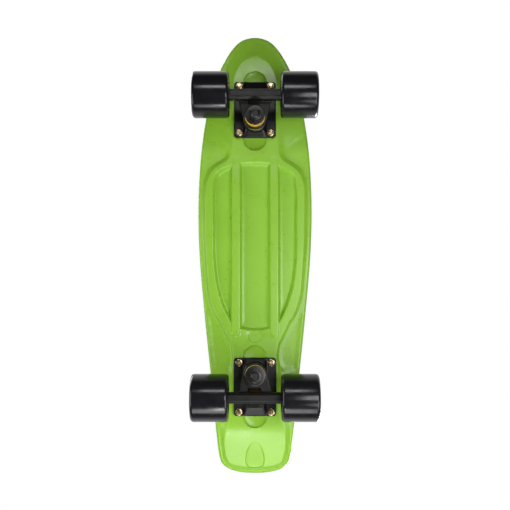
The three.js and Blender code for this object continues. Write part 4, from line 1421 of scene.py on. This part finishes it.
def dressTruck(end, place, castBaseplate, castHanger):
    def truckPiece(name, parts, material):
        return closedPiece(f"{end}_{name}", [moved(part, place) for part in parts], material)

    inMetres = Matrix.Scale(mm, 4) @ place @ Matrix.Scale(1 / mm, 4)
    plate = placedMesh(f"{end}_cast_baseplate", castBaseplate, inMetres)
    ridesOn(plate, "board", "black_paint", f"{end}_baseplate")
    hanger = placedMesh(f"{end}_cast_hanger", castHanger, inMetres)
    ridesOn(hanger, f"{end}_hanger", "black_paint", f"{end}_hanger")
    ridesOn(
        truckPiece("kingpin_stack", kingpinParts(), blackSteel), "board", "black_steel",
        f"{end}_kingpin", f"{end}_kingpin_nut", f"{end}_board_side_cup_washer", f"{end}_road_side_cup_washer",
    )
    # side, foot, height, and where it stays still and where it leans with the hanger's ring
    boardHeight, roadHeight = truck["boardBushing"], truck["roadBushing"]
    for side, bushingFoot, height, still, leaning in (
        ("board", boardFoot, boardHeight, boardFoot + boardHeight, boardFoot),
        ("road", roadFoot, roadHeight, roadFoot, -boardFoot),
    ):
        part = bushingPart(bushingFoot, height, side == "board")
        bushing = truckPiece(f"{side}_bushing", [part], yellowUrethane)
        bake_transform(bushing)
        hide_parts(f"{end}_{side}_side_bushing")
    ridesOn(truckPiece("pivot_seat", cupParts(), blackNylon), "board", "black_urethane", f"{end}_pivot_cup")
    ridesOn(
        truckPiece("axle_set", axleParts(), turnedSteel), f"{end}_hanger", "bright_steel", f"{end}_axle",
        *(f"{end}_{side}_{node}" for node in ("bearing_sleeve", "axle_nut") for side in ("left", "right")),
    )


def dressWheel(end, side, hub):
    tyre = closedPiece(f"{end}_{side}_tyre", [moved(wheelPart(), hub)], wheelUrethane)
    ridesOn(tyre, f"{end}_{side}_wheel", "wheel_urethane", f"{end}_{side}_wheel")
    feet = (wheel["bearingFoot"], -wheel["bearingFoot"] - wheel["bearingWidth"])
    races = closedPiece(f"{end}_{side}_bearings", [moved(bearingPart(z), hub) for z in feet], turnedSteel)
    ridesOn(
        races, f"{end}_{side}_wheel", "bright_steel",
        f"{end}_{side}_inner_bearing", f"{end}_{side}_outer_bearing",
    )


print("casting the trucks")
plateCasting, hangerCasting = baseplateMesh(), hangerMesh()
print("cast:", len(plateCasting.polygons), "and", len(hangerCasting.polygons), "faces")
axleHeight = deck["underside"] - truck["axleDrop"]
for end, centre, facing in (("front", deck["frontTruck"], 1), ("rear", deck["rearTruck"], -1)):
    turn = 0 if facing > 0 else math.pi
    place = Matrix.Translation((0, centre, deck["underside"])) @ Matrix.Rotation(turn, 4, "Z")
    dressTruck(end, place, plateCasting, hangerCasting)
    for side, across in (("left", -1), ("right", 1)):
        middle = (across * wheel["track"] / 2, centre + facing * truck["axlePlace"], axleHeight)
        dressWheel(end, side, Matrix.Translation(middle) @ Matrix.Rotation(math.pi / 2, 4, "Y"))
print("trucks and wheels dressed")


# Deck bolts and their lock nuts

bolt = {
    "radius": 2.4,
    "headRadius": 4.95,
    "headTop": 11.8,
    "headHeight": 2.8,
    "crown": 0.25,
    "crownSink": 0.05,
    # the head's face, and a ring of points inside it, as shares of its radius
    "faceShare": 0.93,
    "ringShare": 0.7,
    "crossLong": 2.55,
    "crossHalf": 0.62,
    "crossDepth": 1.3,
    # the cross's floor, as shares of its length and of its width
    "crossFloorShares": (0.62, 0.6),
    "crossFloorReachShare": 0.63,
    "thread": (0.8, 0.3),
    "threadEnd": -2,
    "nutHead": -5.6,
    "nut": (8, 4),
    "nutCollar": 1.1,
    "end": -11,
    "sides": 48,
}


def crossLoop(longHalf, half):
    corners = [
        (longHalf, half), (half, half), (half, longHalf), (-half, longHalf), (-half, half), (-longHalf, half),
    ]
    return np.array(corners + [(-x, -y) for x, y in corners])


def boltPart():
    # a domed countersunk head with a cross recess, and a plain shank with a threaded end
    sides, radius, headRadius, headTop = bolt["sides"], bolt["radius"], bolt["headRadius"], bolt["headTop"]
    crossLong, crossHalf, faceShare = bolt["crossLong"], bolt["crossHalf"], bolt["faceShare"]
    longShare, halfShare = bolt["crossFloorShares"]
    longReach, halfReach = crossLong * bolt["crossFloorReachShare"], crossHalf * bolt["crossFloorReachShare"]
    points, faces = [], []
    addLoops(points, faces, [
        circle(0, 0, headRadius * faceShare, sides), circle(0, 0, headRadius * bolt["ringShare"], sides // 2),
        crossLoop(crossLong, crossHalf), crossLoop(crossLong * longShare, crossHalf * halfShare),
    ])
    flat, triangles, _ = triangulated(points, [], faces)
    head = []
    for x, y in flat:
        low = abs(x) < longReach and abs(y) < halfReach or abs(y) < longReach and abs(x) < halfReach
        dome = headTop - bolt["crownSink"] + bolt["crown"] * (1 - (x * x + y * y) / headRadius ** 2)
        head.append((x, y, dome - (bolt["crossDepth"] if low else 0)))
    edge = headTop - bolt["crownSink"] + bolt["crown"] * (1 - faceShare ** 2)
    end, seat = bolt["end"], headTop - bolt["headHeight"]
    shank = turnedPart([
        (0, end), (radius - 0.5, end), (radius, end + 0.5),
        *threadRows(radius, end + 0.6, bolt["threadEnd"], *bolt["thread"]),
        (radius, bolt["threadEnd"] + 1), (radius, seat), (headRadius - 0.05, headTop - 0.5),
        (headRadius, headTop - 0.3), (headRadius * 0.985, headTop - 0.1), (headRadius * faceShare, edge),
    ], sides)
    return joinedParts([shank, (head, [list(t) for t in triangles])])


def spreadTree():
    # one part on each point, each turned by a chance angle
    tree, given, result = newTree("spread on points", {
        "Part": ("NodeSocketObject", None),
        "Seed": ("NodeSocketInt", 1),
        "Material": ("NodeSocketMaterial", None),
    })
    info = addNode(tree, "GeometryNodeObjectInfo", None, {
        "Object": given.outputs["Part"],
    }, transform_space="ORIGINAL")
    # input 3 is the highest value of a random number
    chance = addNode(tree, "FunctionNodeRandomValue", {3: 2 * math.pi}, {
        "Seed": given.outputs["Seed"],
    }, data_type="FLOAT")
    turn = addNode(tree, "ShaderNodeCombineXYZ", None, {"Z": chance.outputs[1]})
    spread = addNode(tree, "GeometryNodeInstanceOnPoints", None, {
        "Points": given.outputs["Geometry"], "Instance": info.outputs["Geometry"],
        "Rotation": turn.outputs[0],
    })
    real = addNode(tree, "GeometryNodeRealizeInstances", None, {"Geometry": spread.outputs["Instances"]})
    dressed = addNode(tree, "GeometryNodeSetMaterial", None, {
        "Geometry": real.outputs["Geometry"], "Material": given.outputs["Material"],
    })
    tree.links.new(dressed.outputs["Geometry"], result.inputs["Geometry"])
    return tree


def dressBolts(name, part, seed, suffix):
    source = closedPiece("source", [welded(*part)], yellowZinc)
    mesh = bpy.data.meshes.new(name)
    mesh.from_pydata([(x * mm, y * mm, deck["underside"] * mm) for x, y in boltPlaces], [], [])
    piece = bpy.data.objects.new(name, mesh)
    scene.collection.objects.link(piece)
    treeResult(piece, spread, {"Part": source, "Seed": seed, "Material": yellowZinc})
    bpy.data.objects.remove(source)
    piece.data.shade_smooth()
    piece.data.set_sharp_from_angle(angle=sharpAngle)
    nodes = [
        f"{end}_{row}_{side}{suffix}"
        for end in ("front", "rear") for row in ("outer", "inner") for side in ("left", "right")
    ]
    ridesOn(piece, "board", "yellow_zinc", *nodes)


spread = spreadTree()
nutPart = moved(
    hexagonPart(*bolt["nut"], bolt["radius"] + 0.05, bolt["nutCollar"]),
    Matrix.Translation((0, 0, bolt["nutHead"])) @ Matrix.Rotation(math.pi, 4, "X"),
)
dressBolts("deck_bolts", boltPart(), 7, "_bolt")
dressBolts("deck_bolt_nuts", nutPart, 11, "_bolt_nut")
print("bolts dressed")


# Floor, backdrop, lights and camera, in metres

studio = {
    "floorReach": 9.0,
    "floorPaint": 0.5,
    # the floor's own glow near the board and far from it, and where it changes
    "glow": (0.5, 1.0),
    "glowRange": (0.5, 2.2),
    "ambient": 0.05,
    # how bright the backdrop is in a mirror below the horizon, and how far up it turns white
    "mirrored": 0.05,
    "whiteFrom": 0.45,
}
middle = (0, -0.05, 0.08)
# place, target, size and watts of each softbox
lamps = {
    # a narrow box ahead of the camera, which the nose and the wheels mirror
    "nose_strip": ((0, 0.62, -0.92), (0, 0.2, 0.08), (0.4, 0.2), 2.1),
    # a low box past the tail, which the tail and the lower halves of the wheels mirror
    "tail_box": ((0.02, -0.62, -0.25), (0, -0.1, 0.08), (0.36, 0.2), 1.13),
    # a small one between them, for the pale patch on the tail
    "tail_glint": ((0.03, -0.5, -0.27), (0.02, -0.23, 0.08), (0.05, 0.09), 0.26),
    # three more from below, mostly at the right wheels, so that the light falls off towards the nose
    "rear_right": ((-0.4, -0.45, -0.5), middle, (0.45, 0.45), 2.7),
    "camera_right": ((-0.36, -0.08, -0.8), middle, (0.3, 0.5), 3.45),
    "low_left": ((0.6, -0.15, -0.2), middle, (0.6, 0.3), 2.3),
    # two from above, for the tread and for the shadow on the floor
    "overhead_key": ((-0.9, -1.1, 1.7), middle, (0.9, 0.8), 46),
    "overhead_fill": ((1.3, 0.9, 1.3), middle, (1.4, 1.0), 22),
}
view = {
    "target": (0, -0.003, 0.0785),
    "distance": 0.9367,
    "leanDegrees": 3.43,
    "lens": 51.9,
    "sensorWidth": 36,
    "clipStart": 0.01,
}


def stageFloor():
    # a pale floor that only shows from above, so that the board can be seen from below through it
    mesh = bpy.data.meshes.new("floor")
    reach = studio["floorReach"]
    corners = [(-reach, -reach, 0), (reach, -reach, 0), (reach, reach, 0), (-reach, reach, 0)]
    mesh.from_pydata(corners, [], [(0, 1, 2, 3)])
    floor = bpy.data.objects.new("floor", mesh)
    scene.collection.objects.link(floor)
    material = bpy.data.materials.new("pale floor")
    material.use_nodes = True
    tree = material.node_tree
    tree.nodes.clear()
    path = addNode(tree, "ShaderNodeLightPath")
    back = addNode(tree, "ShaderNodeNewGeometry")
    front = addNode(tree, "ShaderNodeMath", {0: 1.0}, {1: back.outputs["Backfacing"]}, operation="SUBTRACT")
    shown = addNode(tree, "ShaderNodeMath", None, {
        0: path.outputs["Is Camera Ray"], 1: front.outputs[0],
    }, operation="MULTIPLY")
    paint = addNode(tree, "ShaderNodeBsdfDiffuse", {"Color": (*[studio["floorPaint"]] * 3, 1)})
    # away from the board it glows more, until it is as white as the backdrop
    spot = addNode(tree, "ShaderNodeTexCoord")
    distance = addNode(tree, "ShaderNodeVectorMath", None, {0: spot.outputs["Object"]}, operation="LENGTH")
    growing = addNode(tree, "ShaderNodeMapRange", {
        "From Min": studio["glowRange"][0], "From Max": studio["glowRange"][1],
        "To Min": studio["glow"][0], "To Max": studio["glow"][1],
    }, {"Value": distance.outputs["Value"]})
    glow = addNode(tree, "ShaderNodeEmission", {"Color": (1, 1, 1, 1)}, {
        "Strength": growing.outputs["Result"],
    })
    both = addNode(tree, "ShaderNodeAddShader", None, {0: paint.outputs[0], 1: glow.outputs[0]})
    clear = addNode(tree, "ShaderNodeBsdfTransparent")
    mixed = addNode(tree, "ShaderNodeMixShader", None, {
        0: shown.outputs[0], 1: clear.outputs[0], 2: both.outputs[0],
    })
    output = addNode(tree, "ShaderNodeOutputMaterial")
    tree.links.new(mixed.outputs[0], output.inputs["Surface"])
    mesh.materials.append(material)


def studioWorld():
    # white for the camera and, above the horizon, for gloss and glass; a plain grey for light
    world = bpy.data.worlds.new("studio")
    scene.world = world
    world.use_nodes = True
    tree = world.node_tree
    tree.nodes.clear()
    path = addNode(tree, "ShaderNodeLightPath")
    plain = {"Color": (1, 1, 1, 1)}
    white = addNode(tree, "ShaderNodeBackground", {**plain, "Strength": 1.0})
    grey = addNode(tree, "ShaderNodeBackground", {**plain, "Strength": studio["ambient"]})
    direction = addNode(tree, "ShaderNodeTexCoord")
    parts = addNode(tree, "ShaderNodeSeparateXYZ", None, {0: direction.outputs["Generated"]})
    upward = addNode(tree, "ShaderNodeMapRange", {
        "From Min": 0.0, "From Max": studio["whiteFrom"], "To Min": studio["mirrored"], "To Max": 1.0,
    }, {"Value": parts.outputs["Z"]})
    seen = addNode(tree, "ShaderNodeBackground", plain, {"Strength": upward.outputs["Result"]})
    clear = addNode(tree, "ShaderNodeMath", None, {
        0: path.outputs["Is Glossy Ray"], 1: path.outputs["Is Transmission Ray"],
    }, operation="MAXIMUM")
    around = addNode(tree, "ShaderNodeMixShader", None, {
        0: clear.outputs[0], 1: grey.outputs[0], 2: seen.outputs[0],
    })
    whole = addNode(tree, "ShaderNodeMixShader", None, {
        0: path.outputs["Is Camera Ray"], 1: around.outputs[0], 2: white.outputs[0],
    })
    output = addNode(tree, "ShaderNodeOutputWorld")
    tree.links.new(whole.outputs[0], output.inputs["Surface"])


def softbox(name, place, target, size, power):
    lamp = bpy.data.lights.new(name, "AREA")
    lamp.shape = "RECTANGLE"
    lamp.size, lamp.size_y = size
    lamp.energy = power
    box = bpy.data.objects.new(name, lamp)
    box.visible_camera = False
    scene.collection.objects.link(box)
    box.location = place
    box.rotation_euler = (Vector(target) - Vector(place)).to_track_quat("-Z", "Y").to_euler()


def viewFromBelow():
    # it looks straight up at the underside, nose at the top of the picture, and leans a little
    camera = bpy.data.objects.new("camera", bpy.data.cameras.new("camera"))
    scene.collection.objects.link(camera)
    scene.camera = camera
    camera.data.lens = view["lens"]
    camera.data.sensor_width = view["sensorWidth"]
    camera.data.clip_start = view["clipStart"]
    camera.matrix_world = (
        Matrix.Translation(view["target"])
        @ Matrix.Rotation(-math.radians(view["leanDegrees"]), 4, "X")
        @ Matrix(((-1, 0, 0, 0), (0, 1, 0, 0), (0, 0, -1, -view["distance"]), (0, 0, 0, 1)))
    )


stageFloor()
studioWorld()
for name, setting in lamps.items():
    softbox(name, *setting)
viewFromBelow()
scene.view_settings.view_transform = "Standard"
print("stage set with", len(lamps), "lamps")

bpy.context.view_layer.update()
print("scene finished")
